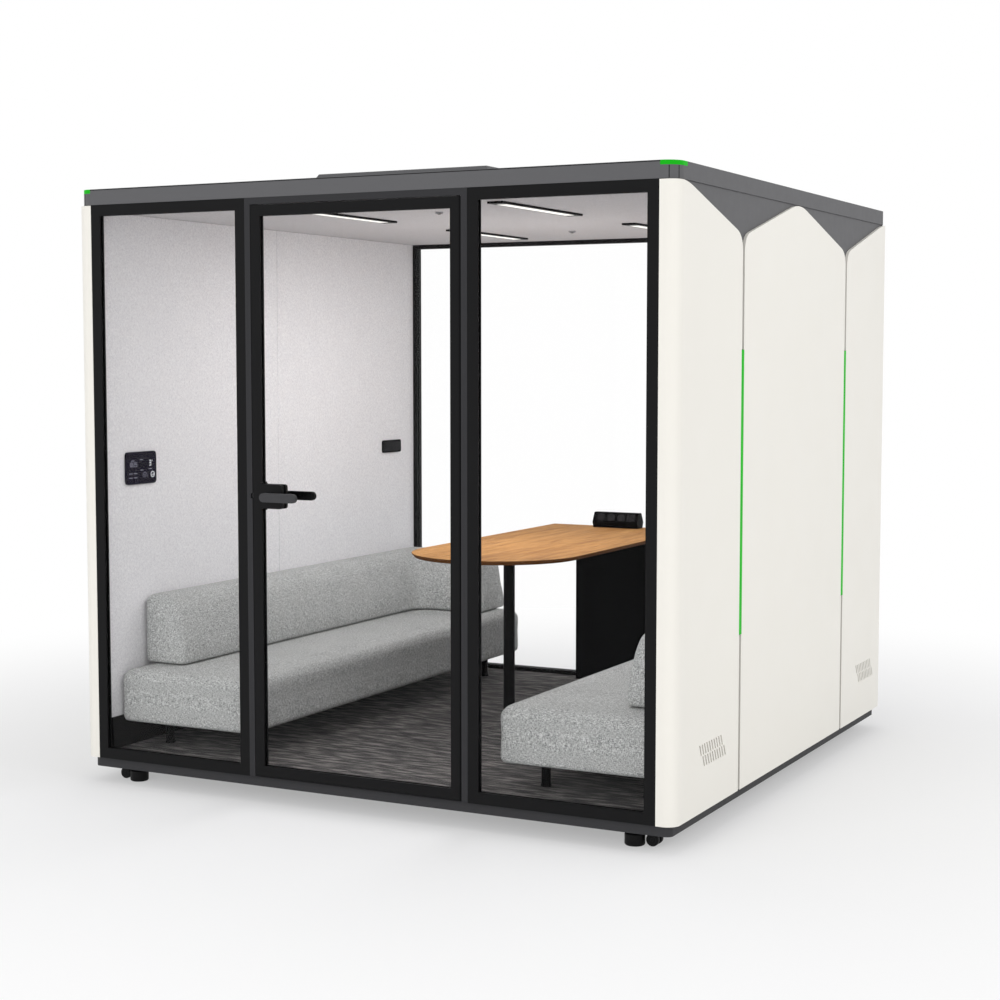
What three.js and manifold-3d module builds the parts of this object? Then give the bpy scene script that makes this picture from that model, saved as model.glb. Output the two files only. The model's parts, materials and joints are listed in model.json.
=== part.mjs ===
// Acoustic office pod: a free-standing glazed meeting cabin with two benches and a table.
// Millimetres. X runs across the front, Y runs from the door (front, negative) to the back window, Z is up.
import * as THREE from 'three';
import { mergeVertices } from 'three/addons/utils/BufferGeometryUtils.js';
import Module from 'manifold-3d';

const wasm = await Module();
wasm.setup();

// Overall size
const WIDTH = 2500;
const DEPTH = 2500;
const HEIGHT = 2315;

// Clearances
const FIT = 0.4;
const RUNNING_GAP = 0.6;
const DOOR_GAP = 2.5;
const OVERRUN = 1;

// Base, feet and castors
const BASE_HEIGHT = 40;
const BASE_INSET = 25;
const BASE_CORNER = 27;
const SOCKET_ROOF = 10;
const STEM_END_GAP = 2;
const FOOT_RADIUS = 36;
const FOOT_EDGE = 7;
const FOOT_STEM_RADIUS = 12;
const FOOT_STEM_SHOWING = 14;
const FOOT_FROM_FRONT = 100;
const FOOT_CASTOR_GAP = 0.6;
const CASTOR_FROM_SIDE = 108;
const CASTOR_FROM_FRONT = 120;
const CASTOR_TRAIL = 13;
const CASTOR_PLATE_RADIUS = 21;
const CASTOR_PLATE_THICK = 5;
const CASTOR_PIN_RADIUS = 6;
const CASTOR_WEB = 12;
const CASTOR_WEB_LENGTH = 24;
const CASTOR_WEB_BELOW_BORE = 5;
const WHEEL_RADIUS = 23;
const WHEEL_WIDTH = 19;
const WHEEL_LIFT = 1.5;
const WHEEL_TOP_GAP = 5.9;
const WHEEL_SIDE_GAP = 1;
const AXLE_RADIUS = 4;

// Floor, ceiling and liners
const FLOOR_THICK = 22.6;
const CEILING_THICK = 22.6;
const LINER_THICK = 21;
const LINER_GROOVE_WIDTH = 4;
const LINER_GROOVE_DEPTH = 3;
const LINER_GROOVE_Y = -11;
const SKIRTING_HEIGHT = 128;
const LIGHT_WIDTH = 64;
const LIGHT_LENGTH = 690;
const LIGHT_DROP = 8;
const LIGHT_FROM_AXIS = 421;
const LIGHT_FROM_END = 640;
const SENSOR_RADIUS = 14;
const SENSOR_DROP = 6;

// Side walls
const PANEL_THICK = 12;
const CORNER_RADIUS = 48;
const CORNER_FLAT = 23;
const SEAM_FROM_MIDDLE = 626;
const SEAM_WIDTH = 20;
const VALLEY_BELOW_ROOF = 149;
const PANEL_TOP_GAP = 2;
const SHOULDER_LENGTH = 70;
const SHOULDER_ROUND = 60;
const PEAK_ABOVE = 9;
const PEAK_ROUND = 90;
const VALLEY_ROUND = 62;
const STRIP_SIDE_GAP = 1;
const STRIP_SINK = 1.4;
const STRIP_REBATE = 3;
const STRIP_REBATE_WIDTH = 28;
const STRIP_BOTTOM = 670;
const STRIP_TOP = 1699;
const SLOT_COUNT = 10;
const SLOT_PITCH = 23;
const SLOT_WIDTH = 10;
const SLOT_HEIGHT = 38;
const SLOT_SLANT = 17;
const SLOT_ROW_HEIGHTS = [277, 319];
const SLOT_ROW_SHIFT = 31;
const SLOTS_BEHIND_EDGE = 353;

// Roof
const FASCIA_HEIGHT = 60;
const ROOF_SIDE_INSET = 7.5;
const ROOF_CORNER = 60;
const ROOF_SKIN = 8;
const ROOF_RIM = 40;
const CORNER_LIGHT_HEIGHT = 15;
const CORNER_LIGHT_DEPTH = 14;
const CORNER_LIGHT_ACROSS = 61;
const CORNER_LIGHT_ALONG = 90;
const UNIT_HALF_WIDTH = 360;
const UNIT_HALF_LENGTH = 905;
const UNIT_HEADROOM = 11.5;
const UNIT_SLOPE = 30;
const UNIT_SKIN = 6;
const FAN_RADIUS = 150;
const FAN_HOLE_GAP = 15;
const FAN_HUB_RADIUS = 55;
const FAN_BLADES = 6;
const FAN_HEIGHT = 26;
const FAN_BLADE_WIDTH = 30;
const FAN_BLADE_THICK = 5;
const FAN_BLADE_ROOT = 6;
const FAN_BLADE_PITCH = Math.PI / 6;
const SPIDER_WIDTH = 30;
const SPIDER_LAP = 5;
const BOSS_RADIUS = 40;
const BOSS_HEIGHT = 6;
const BOSS_GAP = 1.5;

// Glazing
const FRAME_FACE = 42;
const FRONT_RECESS = 8;
const FRONT_BEAD = 8;
const BACK_RECESS = 28;
const BACK_BEAD = 10;
const GLASS_THICK = 10;
const GLASS_EDGE = 12;

// Door, portal and lock
const DOORWAY_WIDTH = 880;
const POST_FACE = 25;
const SILL_THICK = 2.2;
const STOP_OVERLAP = 12;
const STOP_THICK = 12;
const PIVOT_RADIUS = 6;
const PIVOT_LENGTH = 18;
const DOOR_FACE = 40;
const CASE_BEYOND_LEVER = 45;
const CASE_HEIGHT = 90;
const CASE_FLARE = 7;
const CASE_FLARE_TIP = 1;
const CASE_FRONT = 18;
const CASE_BACK = 14;
const CASE_LAP = 7;
const LEVER_HEIGHT = 1158;
const LEVER_WIDE = 33;
const LEVER_THICK = 14;
const LEVER_REACH_OUTSIDE = 142;
const LEVER_REACH_INSIDE = 128;
const LEVER_STANDOFF = 42;
const LEVER_STANDOFF_INSIDE = 52;
const SPINDLE_RADIUS = 7;
const SPINDLE_WALL = 8.5;
const BOLT_THICK = 8;
const BOLT_TALL = 16;
const BOLT_THROW = 7;
const BOLT_TRAVEL = 10;
const BOLT_INSIDE = 20;
const BOLT_END_GAP = 2;
const STRIKE_GAP = 1;

// Benches
const BENCH_FRONT_GAP = 77;
const BENCH_BACK_GAP = 45;
const BENCH_FACE = 533;
const BENCH_WALL_GAP = 5;
const SEAT_BOTTOM = 106;
const SEAT_THICK = 213;
const SEAT_CROWN = 8;
const SEAT_ROUND = 38;
const SEAT_CORNER = 22;
const SEAT_TUCK = 19;
const SEAT_DRAW_IN = 5;
const SEAT_LEAST_CORNER = 6;
const BENCH_BOARD = 12;
const BENCH_BOARD_INSET = 64;
const LEG_RADIUS = 17;
const LEG_FROM_FACE = 108;
const LEG_FROM_WALL = 112;
const LEG_FROM_END = 169.6;
const BACK_SETBACK = 154;
const BACK_HEIGHT = 278;
const BACK_DEPTH = 198;
const BACK_LEAN = 62;
const BACK_ROUND = 40;
const BACK_CORNER = 22;
const BACK_TUCK = 12;
const BACK_LEAST_CORNER = 4;
const BACK_INNER_ROUND = 70;
const BACK_GAP = 1.5;
const RETURN_DEPTH = 260;
const RETURN_END = 76;
const RETURN_END_LEAN = 42;

// Table and things on the walls
const TABLE_HEIGHT = 741;
const TABLE_THICK = 18;
const TABLE_LIP = 4;
const TABLE_BEVEL = 13;
const TABLE_RADIUS = 363;
const TABLE_LENGTH = 1663;
const TABLE_BACK_GAP = 7;
const POST_RADIUS = 24;
const POST_FROM_CENTRE = 96;
const FLANGE_RADIUS = 36;
const FLANGE_THICK = 6;
const PANEL_LEG_WIDTH = 424;
const PANEL_LEG_THICK = 30;
const PANEL_LEG_FROM_END = 45;
const POWER_WIDTH = 230;
const POWER_HEIGHT = 72;
const POWER_WAIST_HEIGHT = 27;
const POWER_WAIST_DEPTH = 82;
const POWER_FOOT_DEPTH = 58;
const POWER_TOP_DEPTH = 32;
const POWER_FROM_END = 20;
const CONTROL_WIDTH = 192;
const CONTROL_HEIGHT = 130;
const CONTROL_THICK = 8;
const CONTROL_ROUND = 18;
const CONTROL_FROM_FRONT = 250;
const CONTROL_Z = 1230;
const SOCKET_WIDTH = 174;
const SOCKET_HEIGHT = 61;
const SOCKET_THICK = 8;
const SOCKET_FROM_BACK = 274;
const SOCKET_Z = 1233;
const PLATE_ROUND = 12;

// Facets of round pieces
const ARC_STEPS = 8;
const TABLE_ARC_STEPS = 36;
const CUSHION_STEPS = 4;
const FINE_SIDES = 48;
const WIDE_SIDES = 32;
const SIDES = 24;
const THIN_SIDES = 16;

// Levels and planes that follow from the sizes above
const floorGap = WHEEL_LIFT + 2 * WHEEL_RADIUS + WHEEL_TOP_GAP + CASTOR_PLATE_THICK + RUNNING_GAP;
const frontDepth = FRONT_RECESS + GLASS_THICK + FRONT_BEAD;
const backDepth = BACK_RECESS + GLASS_THICK + BACK_BEAD;
const halfWidth = WIDTH / 2;
const halfDepth = DEPTH / 2;
const baseTop = floorGap + BASE_HEIGHT;
const frameBottom = baseTop + FIT;
const roofBottom = HEIGHT - FASCIA_HEIGHT;
const frameTop = roofBottom - FIT;
const floorTop = frameBottom + FLOOR_THICK;
const ceilingBottom = frameTop - CEILING_THICK;
const frameSide = halfWidth - CORNER_RADIUS - CORNER_FLAT;
const cornerCentreX = halfWidth - CORNER_RADIUS;
const cornerCentreY = halfDepth - CORNER_RADIUS;
const lightY = halfDepth - LIGHT_FROM_END;
const coreOuter = halfWidth - PANEL_THICK - FIT;
const linerFace = frameSide - LINER_THICK;
const roomFront = -halfDepth + frontDepth + FIT;
const roomBack = halfDepth - backDepth - FIT;
const tableTop = floorTop + TABLE_HEIGHT;
const LEFT = -1;
const RIGHT = 1;
const FRONT = -1;
const REAR = 1;

// Finishes
function finish(color, roughness, metalness = 0) {
  return new THREE.MeshStandardMaterial({ color, roughness, metalness });
}
const FINISH = {
  graphite: finish(0x6f6f71, 0.5),
  plinth: finish(0x464648, 0.6),
  white: finish(0xf0eee7, 0.45),
  black: finish(0x202020, 0.4),
  portal: finish(0x4d4d4f, 0.45),
  glass: new THREE.MeshStandardMaterial({
    color: 0xeef4f2, roughness: 0.05, transparent: true, opacity: 0.2,
  }),
  felt: finish(0xd7d5d8, 0.95),
  ceiling: finish(0xb9b4b3, 0.95),
  carpet: finish(0x4a4546, 0.98),
  fabric: finish(0xb9bbb8, 0.95),
  wood: finish(0xc89664, 0.5),
  steel: finish(0x9a9a9c, 0.35, 0.9),
  rubber: finish(0x141414, 0.8),
  lever: finish(0x45464a, 0.4, 0.5),
  green: finish(0x2fd23c, 0.3),
};

// Solid modelling helpers
function toSolid(geometry) {
  const bare = geometry.clone();
  bare.deleteAttribute('normal');
  bare.deleteAttribute('uv');
  const merged = mergeVertices(bare, 1e-3);
  return new wasm.Manifold(new wasm.Mesh({
    numProp: 3,
    vertProperties: new Float32Array(merged.attributes.position.array),
    triVerts: new Uint32Array(merged.index.array),
  }));
}

function toGeometry(solid) {
  const mesh = solid.getMesh();
  const geometry = new THREE.BufferGeometry();
  geometry.setAttribute('position', new THREE.BufferAttribute(new Float32Array(mesh.vertProperties), 3));
  geometry.setIndex(new THREE.BufferAttribute(new Uint32Array(mesh.triVerts), 1));
  return geometry;
}

function box([x0, x1], [y0, y1], [z0, z1]) {
  const geometry = new THREE.BoxGeometry(x1 - x0, y1 - y0, z1 - z0);
  geometry.translate((x0 + x1) / 2, (y0 + y1) / 2, (z0 + z1) / 2);
  return toSolid(geometry);
}

function rod(axis, [x, y, z], radius, length, sides = SIDES) {
  const geometry = new THREE.CylinderGeometry(radius, radius, length, sides);
  if (axis === 'z') geometry.rotateX(Math.PI / 2);
  if (axis === 'x') geometry.rotateZ(Math.PI / 2);
  geometry.translate(x, y, z);
  return toSolid(geometry);
}

function prism(shape, bottom, top, curveSegments = ARC_STEPS) {
  const geometry = new THREE.ExtrudeGeometry(shape, {
    depth: top - bottom, bevelEnabled: false, curveSegments,
  });
  geometry.translate(0, 0, bottom);
  return toSolid(geometry);
}

// A shape drawn in Y and Z, run along X
function prismAlongX(shape, from, to) {
  const geometry = new THREE.ExtrudeGeometry(shape, {
    depth: to - from, bevelEnabled: false, curveSegments: ARC_STEPS,
  });
  geometry.translate(0, 0, from);
  const axes = new THREE.Matrix4();
  axes.makeBasis(new THREE.Vector3(0, 1, 0), new THREE.Vector3(0, 0, 1), new THREE.Vector3(1, 0, 0));
  geometry.applyMatrix4(axes);
  return toSolid(geometry);
}

// A shape drawn in X and Z, run along Y
function prismAlongY(shape, from, to) {
  const geometry = new THREE.ExtrudeGeometry(shape, {
    depth: to - from, bevelEnabled: false, curveSegments: ARC_STEPS,
  });
  geometry.translate(0, 0, -to);
  geometry.rotateX(Math.PI / 2);
  return toSolid(geometry);
}

// A closed outline through corners [x, y, length rounded off on each side]
function outline(corners) {
  const shape = new THREE.Shape();
  const count = corners.length;
  const points = corners.map(([x, y]) => new THREE.Vector2(x, y));
  points.forEach((corner, i) => {
    const round = corners[i][2] ?? 0;
    const before = points[(i + count - 1) % count].clone().sub(corner).setLength(round).add(corner);
    const after = points[(i + 1) % count].clone().sub(corner).setLength(round).add(corner);
    if (i === 0) shape.moveTo(before.x, before.y);
    else shape.lineTo(before.x, before.y);
    if (round > 0) shape.quadraticCurveTo(corner.x, corner.y, after.x, after.y);
  });
  shape.closePath();
  return shape;
}

function roundedRectangle(x, y, radius) {
  const shape = new THREE.Shape();
  shape.moveTo(x, -y + radius);
  shape.absarc(x - radius, y - radius, radius, 0, Math.PI / 2);
  shape.absarc(-x + radius, y - radius, radius, Math.PI / 2, Math.PI);
  shape.absarc(-x + radius, -y + radius, radius, Math.PI, 1.5 * Math.PI);
  shape.absarc(x - radius, -y + radius, radius, 1.5 * Math.PI, 2 * Math.PI);
  return shape;
}

function mirrored([a, b], side) {
  return side > 0 ? [a, b] : [-b, -a];
}

function sideName(side) {
  return side < 0 ? 'left' : 'right';
}

function endName(end) {
  return end < 0 ? 'front' : 'rear';
}

const pod = new THREE.Group();

function add(name, solid, material) {
  const geometry = solid.isBufferGeometry ? solid : toGeometry(solid);
  geometry.computeVertexNormals();
  const mesh = new THREE.Mesh(geometry, material);
  mesh.name = name;
  pod.add(mesh);
}

// Base plinth with sockets for the feet and the castor pins
const wheelInner = CASTOR_WEB / 2 + WHEEL_SIDE_GAP;
const wheelOuter = wheelInner + WHEEL_WIDTH;
const castorSweep = Math.hypot(CASTOR_TRAIL + WHEEL_RADIUS, wheelOuter);
const castorX = halfWidth - CASTOR_FROM_SIDE;
const castorY = halfDepth - CASTOR_FROM_FRONT;
const footY = halfDepth - FOOT_FROM_FRONT;
const footReach = castorSweep + FOOT_CASTOR_GAP + FOOT_RADIUS;
const footX = castorX - Math.sqrt(footReach ** 2 - (footY - castorY) ** 2);
const socketTop = baseTop - SOCKET_ROOF;
const stemTop = socketTop - STEM_END_GAP;
const corners = [FRONT, REAR].flatMap((end) => [LEFT, RIGHT].map((side) => ({ end, side })));

// A round bar standing between two heights
function upright(x, y, radius, bottom, top, sides = SIDES) {
  return rod('z', [x, y, (bottom + top) / 2], radius, top - bottom, sides);
}

function buildBase() {
  const plan = roundedRectangle(halfWidth - BASE_INSET, halfDepth - BASE_INSET, BASE_CORNER);
  let base = prism(plan, floorGap, baseTop);
  for (const { end, side } of corners) {
    base = base.subtract(upright(side * footX, end * footY, FOOT_STEM_RADIUS + RUNNING_GAP,
      floorGap - OVERRUN, socketTop));
    base = base.subtract(upright(side * castorX, end * castorY, CASTOR_PIN_RADIUS + RUNNING_GAP,
      floorGap - OVERRUN, socketTop));
  }
  add('base_plinth', base, FINISH.plinth);
}

// Points of a level circle
function circle(x, y, radius, z, sides) {
  return Array.from({ length: sides }, (_, i) => {
    const angle = (i / sides) * 2 * Math.PI;
    return [x + radius * Math.cos(angle), y + radius * Math.sin(angle), z];
  });
}

// Levelling foot: a pad with rounded rims on a stem that runs up into the plinth
function buildFoot(end, side) {
  const padTop = floorGap - FOOT_STEM_SHOWING;
  const ring = (radius, z) => circle(side * footX, end * footY, radius, z, WIDE_SIDES);
  const rings = [];
  for (let i = 0; i <= CUSHION_STEPS; i += 1) {
    rings.push(ring(FOOT_RADIUS - FOOT_EDGE * edgeStart(i), FOOT_EDGE * edgeEnd(i)));
  }
  for (let i = 0; i <= CUSHION_STEPS; i += 1) {
    rings.push(ring(FOOT_RADIUS - FOOT_EDGE * edgeEnd(i), padTop - FOOT_EDGE * edgeStart(i)));
  }
  rings.push(ring(FOOT_STEM_RADIUS, padTop));
  rings.push(ring(FOOT_STEM_RADIUS, stemTop));
  add(`levelling_foot_${endName(end)}_${sideName(side)}`, loft(rings), FINISH.rubber);
}

// Castor: a web under a swivel plate, and a pair of wheels fixed to the axle that turns in the web
function buildCastor(end, side) {
  const x = side * castorX;
  const y = end * castorY;
  const name = `${endName(end)}_${sideName(side)}`;
  const axleZ = WHEEL_LIFT + WHEEL_RADIUS;
  const axleX = x - side * CASTOR_TRAIL;
  const plateTop = floorGap - RUNNING_GAP;
  const plateBottom = plateTop - CASTOR_PLATE_THICK;
  const bore = AXLE_RADIUS + RUNNING_GAP;
  const webHalf = CASTOR_WEB_LENGTH / 2;
  const fork = upright(x, y, CASTOR_PLATE_RADIUS, plateBottom, plateTop)
    .add(upright(x, y, CASTOR_PIN_RADIUS, plateBottom, stemTop))
    .add(box([axleX - webHalf, axleX + webHalf], [y - CASTOR_WEB / 2, y + CASTOR_WEB / 2],
      [axleZ - bore - CASTOR_WEB_BELOW_BORE, plateBottom + OVERRUN]))
    .subtract(rod('y', [axleX, y, axleZ], bore, CASTOR_WEB + 2 * OVERRUN, THIN_SIDES));
  add(`castor_fork_${name}`, fork, FINISH.black);
  let wheels = rod('y', [axleX, y, axleZ], AXLE_RADIUS, 2 * (wheelInner + OVERRUN), THIN_SIDES);
  for (const hand of [FRONT, REAR]) {
    const middle = y + hand * (wheelInner + wheelOuter) / 2;
    wheels = wheels.add(rod('y', [axleX, middle, axleZ], WHEEL_RADIUS, WHEEL_WIDTH, WIDE_SIDES));
  }
  add(`castor_wheel_${name}`, wheels, FINISH.rubber);
}

// Floor, liners and ceiling of the room
function buildRoom() {
  const across = [-frameSide, frameSide];
  const along = [roomFront, roomBack];
  add('floor_carpet', box(across, along, [frameBottom, floorTop]), FINISH.carpet);
  let ceiling = box(across, along, [ceilingBottom, frameTop]);
  for (const end of [FRONT, REAR]) {
    ceiling = ceiling.add(upright(0, end * lightY, SENSOR_RADIUS, ceilingBottom - SENSOR_DROP,
      ceilingBottom + OVERRUN, THIN_SIDES));
  }
  add('ceiling_panel', ceiling, FINISH.ceiling);
  const skirtingTop = floorTop + FIT + SKIRTING_HEIGHT;
  for (const side of [LEFT, RIGHT]) {
    const wall = mirrored([linerFace, frameSide], side);
    add(`skirting_${sideName(side)}`, box(wall, along, [floorTop + FIT, skirtingTop]), FINISH.black);
    const liner = box(wall, along, [skirtingTop + FIT, ceilingBottom - FIT]);
    const groove = box(mirrored([linerFace - OVERRUN, linerFace + LINER_GROOVE_DEPTH], side),
      [LINER_GROOVE_Y - LINER_GROOVE_WIDTH / 2, LINER_GROOVE_Y + LINER_GROOVE_WIDTH / 2],
      [skirtingTop, roofBottom]);
    add(`wall_liner_${sideName(side)}`, liner.subtract(groove), FINISH.felt);
  }
}

function buildCeilingLight(end, side) {
  const x = side * LIGHT_FROM_AXIS;
  const y = end * lightY;
  const light = box([x - LIGHT_WIDTH / 2, x + LIGHT_WIDTH / 2], [y - LIGHT_LENGTH / 2, y + LIGHT_LENGTH / 2],
    [ceilingBottom - FIT - LIGHT_DROP, ceilingBottom - FIT]);
  add(`ceiling_light_${endName(end)}_${sideName(side)}`, light, FINISH.black);
}

// Side wall cores, with the light strips standing in the seams between the outer panels
const panelTop = roofBottom - PANEL_TOP_GAP;

function buildWallCore(side) {
  const radius = CORNER_RADIUS - PANEL_THICK - FIT;
  const reach = cornerCentreY + radius;
  const shape = new THREE.Shape();
  shape.moveTo(frameSide + FIT, -reach);
  shape.absarc(cornerCentreX, -cornerCentreY, radius, -Math.PI / 2, 0);
  shape.absarc(cornerCentreX, cornerCentreY, radius, 0, Math.PI / 2);
  shape.lineTo(frameSide + FIT, reach);
  shape.closePath();
  let core = prism(shape, frameBottom, frameTop);
  for (const end of [FRONT, REAR]) {
    const seam = end * SEAM_FROM_MIDDLE;
    const half = SEAM_WIDTH / 2 - STRIP_SIDE_GAP;
    core = core.add(box([coreOuter - OVERRUN, halfWidth - STRIP_SINK], [seam - half, seam + half],
      [STRIP_BOTTOM, STRIP_TOP]));
  }
  add(`wall_core_${sideName(side)}`, side > 0 ? core : turned(core), FINISH.graphite);
}

// Half a turn about the vertical axis carries a right-hand wall piece to the left wall
function turned(solid) {
  const geometry = toGeometry(solid);
  geometry.rotateZ(Math.PI);
  return geometry;
}

// Outer panels: the gable profile is drawn on the wall (Y, Z) and cut from the plate
function slotCutter(middle) {
  let cutter = null;
  SLOT_ROW_HEIGHTS.forEach((height, row) => {
    const shift = (row === 0 ? 1 : -1) * SLOT_ROW_SHIFT / 2;
    for (let i = 0; i < SLOT_COUNT; i += 1) {
      const y = middle + shift + (i - (SLOT_COUNT - 1) / 2) * SLOT_PITCH;
      const low = height - SLOT_HEIGHT / 2;
      const high = height + SLOT_HEIGHT / 2;
      const lean = SLOT_SLANT / 2;
      const slot = outline([
        [y - SLOT_WIDTH / 2 + lean, low], [y + SLOT_WIDTH / 2 + lean, low],
        [y + SLOT_WIDTH / 2 - lean, high], [y - SLOT_WIDTH / 2 - lean, high],
      ]);
      const cut = prismAlongX(slot, coreOuter, halfWidth + OVERRUN);
      cutter = cutter ? cutter.add(cut) : cut;
    }
  });
  return cutter;
}

function endPanel(end) {
  const seamEdge = SEAM_FROM_MIDDLE + SEAM_WIDTH / 2;
  const inner = CORNER_RADIUS - PANEL_THICK;
  const plan = new THREE.Shape();
  plan.moveTo(halfWidth, -seamEdge);
  plan.lineTo(halfWidth - PANEL_THICK, -seamEdge);
  plan.absarc(cornerCentreX, -cornerCentreY, inner, 0, -Math.PI / 2, true);
  plan.lineTo(frameSide + FIT, -cornerCentreY - inner);
  plan.lineTo(frameSide + FIT, -halfDepth);
  plan.absarc(cornerCentreX, -cornerCentreY, CORNER_RADIUS, -Math.PI / 2, 0);
  plan.closePath();
  const profile = outline([
    [-seamEdge, frameBottom], [-seamEdge, panelTop - VALLEY_BELOW_ROOF, VALLEY_ROUND],
    [-halfDepth + SHOULDER_LENGTH, panelTop, SHOULDER_ROUND], [-halfDepth - OVERRUN, panelTop],
    [-halfDepth - OVERRUN, frameBottom],
  ]);
  let panel = prism(plan, frameBottom, roofBottom).intersect(prismAlongX(profile, 0, halfWidth + OVERRUN));
  if (end === REAR) {
    const flipped = toGeometry(panel).applyMatrix4(new THREE.Matrix4().makeScale(1, -1, 1));
    panel = toSolid(reversed(flipped));
  }
  const frontEdge = end === FRONT ? -halfDepth : SEAM_FROM_MIDDLE;
  return panel.subtract(slotCutter(frontEdge + SLOTS_BEHIND_EDGE));
}

function middlePanel() {
  const edge = SEAM_FROM_MIDDLE - SEAM_WIDTH / 2;
  const profile = outline([
    [-edge, frameBottom], [edge, frameBottom], [edge, panelTop - VALLEY_BELOW_ROOF, VALLEY_ROUND],
    [0, panelTop + PEAK_ABOVE, PEAK_ROUND], [-edge, panelTop - VALLEY_BELOW_ROOF, VALLEY_ROUND],
  ]);
  return prismAlongX(profile, halfWidth - PANEL_THICK, halfWidth);
}

// Turns a mirrored surface right side out again
function reversed(geometry) {
  const index = geometry.index.array;
  for (let i = 0; i < index.length; i += 3) {
    const first = index[i];
    index[i] = index[i + 1];
    index[i + 1] = first;
  }
  return geometry;
}

// Shallow rebate over both seams, for light lines that lie across the panels' edges
function rebated(panel) {
  const half = STRIP_REBATE_WIDTH / 2;
  return [FRONT, REAR].reduce((solid, end) => {
    const seam = end * SEAM_FROM_MIDDLE;
    return solid.subtract(box([halfWidth - STRIP_REBATE, halfWidth + OVERRUN], [seam - half, seam + half],
      [STRIP_BOTTOM, STRIP_TOP]));
  }, panel);
}

function buildWallPanels(side) {
  const place = (solid) => (side > 0 ? rebated(solid) : turned(rebated(solid)));
  const wall = sideName(side);
  add(`wall_panel_${wall}_middle`, place(middlePanel()), FINISH.white);
  for (const end of [FRONT, REAR]) {
    add(`wall_panel_${wall}_${endName(end)}`, place(endPanel(side * end)), FINISH.white);
  }
}

// Roof cap: a shallow tray open below, with the fan opening and a green light let into each front corner
const roofHalfWidth = halfWidth - ROOF_SIDE_INSET;

function cornerLight(side, gap) {
  const depth = CORNER_LIGHT_DEPTH + gap;
  const bottom = HEIGHT - CORNER_LIGHT_HEIGHT - gap;
  const top = HEIGHT + (gap > 0 ? OVERRUN : 0);
  const outer = prism(roundedRectangle(roofHalfWidth, halfDepth, ROOF_CORNER), bottom, top);
  const innerRound = Math.max(ROOF_CORNER - depth, gap + FIT);
  const inner = prism(roundedRectangle(roofHalfWidth - depth, halfDepth - depth, innerRound),
    bottom - OVERRUN, top + OVERRUN);
  const corner = box(mirrored([roofHalfWidth - CORNER_LIGHT_ACROSS - gap, roofHalfWidth + OVERRUN], side),
    [-halfDepth - OVERRUN, -halfDepth + CORNER_LIGHT_ALONG + gap], [bottom - OVERRUN, top + OVERRUN]);
  return outer.subtract(inner).intersect(corner);
}

function buildRoof() {
  const skinBottom = HEIGHT - ROOF_SKIN;
  const fanHole = FAN_RADIUS + FAN_HOLE_GAP;
  const arm = fanHole + SPIDER_LAP;
  const halfArm = SPIDER_WIDTH / 2;
  let cap = prism(roundedRectangle(roofHalfWidth, halfDepth, ROOF_CORNER), roofBottom, HEIGHT);
  cap = cap.subtract(box([-roofHalfWidth + ROOF_RIM, roofHalfWidth - ROOF_RIM],
    [-halfDepth + ROOF_RIM, halfDepth - ROOF_RIM], [roofBottom - OVERRUN, skinBottom]));
  cap = cap.subtract(upright(0, 0, fanHole, skinBottom - OVERRUN, HEIGHT + OVERRUN, WIDE_SIDES));
  cap = cap.add(box([-arm, arm], [-halfArm, halfArm], [skinBottom, HEIGHT]));
  cap = cap.add(box([-halfArm, halfArm], [-arm, arm], [skinBottom, HEIGHT]));
  cap = cap.add(upright(0, 0, BOSS_RADIUS, skinBottom, HEIGHT + BOSS_HEIGHT));
  for (const side of [LEFT, RIGHT]) {
    cap = cap.subtract(cornerLight(side, FIT));
    add(`corner_light_${sideName(side)}`, cornerLight(side, 0), FINISH.green);
  }
  add('roof_cap', cap, FINISH.graphite);
}

// A block whose sides spread outwards towards its foot
function frustum(bottom, top, halfX, halfY, slope) {
  const geometry = new THREE.BoxGeometry(2, 2, top - bottom);
  geometry.translate(0, 0, (top + bottom) / 2);
  const position = geometry.attributes.position;
  for (let i = 0; i < position.count; i += 1) {
    const grow = position.getZ(i) < (top + bottom) / 2 ? slope : 0;
    position.setX(i, position.getX(i) * (halfX + grow));
    position.setY(i, position.getY(i) * (halfY + grow));
  }
  return toSolid(geometry);
}

// Ventilation unit on the roof: a hollow cover over the fan
function buildRoofUnit() {
  const rotorBottom = HEIGHT + BOSS_HEIGHT + BOSS_GAP;
  const rotorMiddle = rotorBottom + FAN_HEIGHT / 2;
  const hollowTop = rotorBottom + FAN_HEIGHT + UNIT_HEADROOM;
  const bottom = HEIGHT + FIT;
  const shell = frustum(bottom, hollowTop + UNIT_SKIN, UNIT_HALF_WIDTH, UNIT_HALF_LENGTH, UNIT_SLOPE);
  const hollow = frustum(bottom - OVERRUN, hollowTop, UNIT_HALF_WIDTH - UNIT_SKIN,
    UNIT_HALF_LENGTH - UNIT_SKIN, UNIT_SLOPE);
  add('roof_unit', shell.subtract(hollow), FINISH.graphite);
  let rotor = rod('z', [0, 0, rotorMiddle], FAN_HUB_RADIUS, FAN_HEIGHT);
  const root = FAN_HUB_RADIUS - FAN_BLADE_ROOT;
  for (let i = 0; i < FAN_BLADES; i += 1) {
    const blade = new THREE.BoxGeometry(FAN_RADIUS - root, FAN_BLADE_WIDTH, FAN_BLADE_THICK);
    blade.rotateX(FAN_BLADE_PITCH);
    blade.translate((FAN_RADIUS + root) / 2, 0, rotorMiddle);
    blade.rotateZ((i * 2 * Math.PI) / FAN_BLADES);
    rotor = rotor.add(toSolid(blade));
  }
  add('fan_rotor', rotor, FINISH.black);
}

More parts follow.
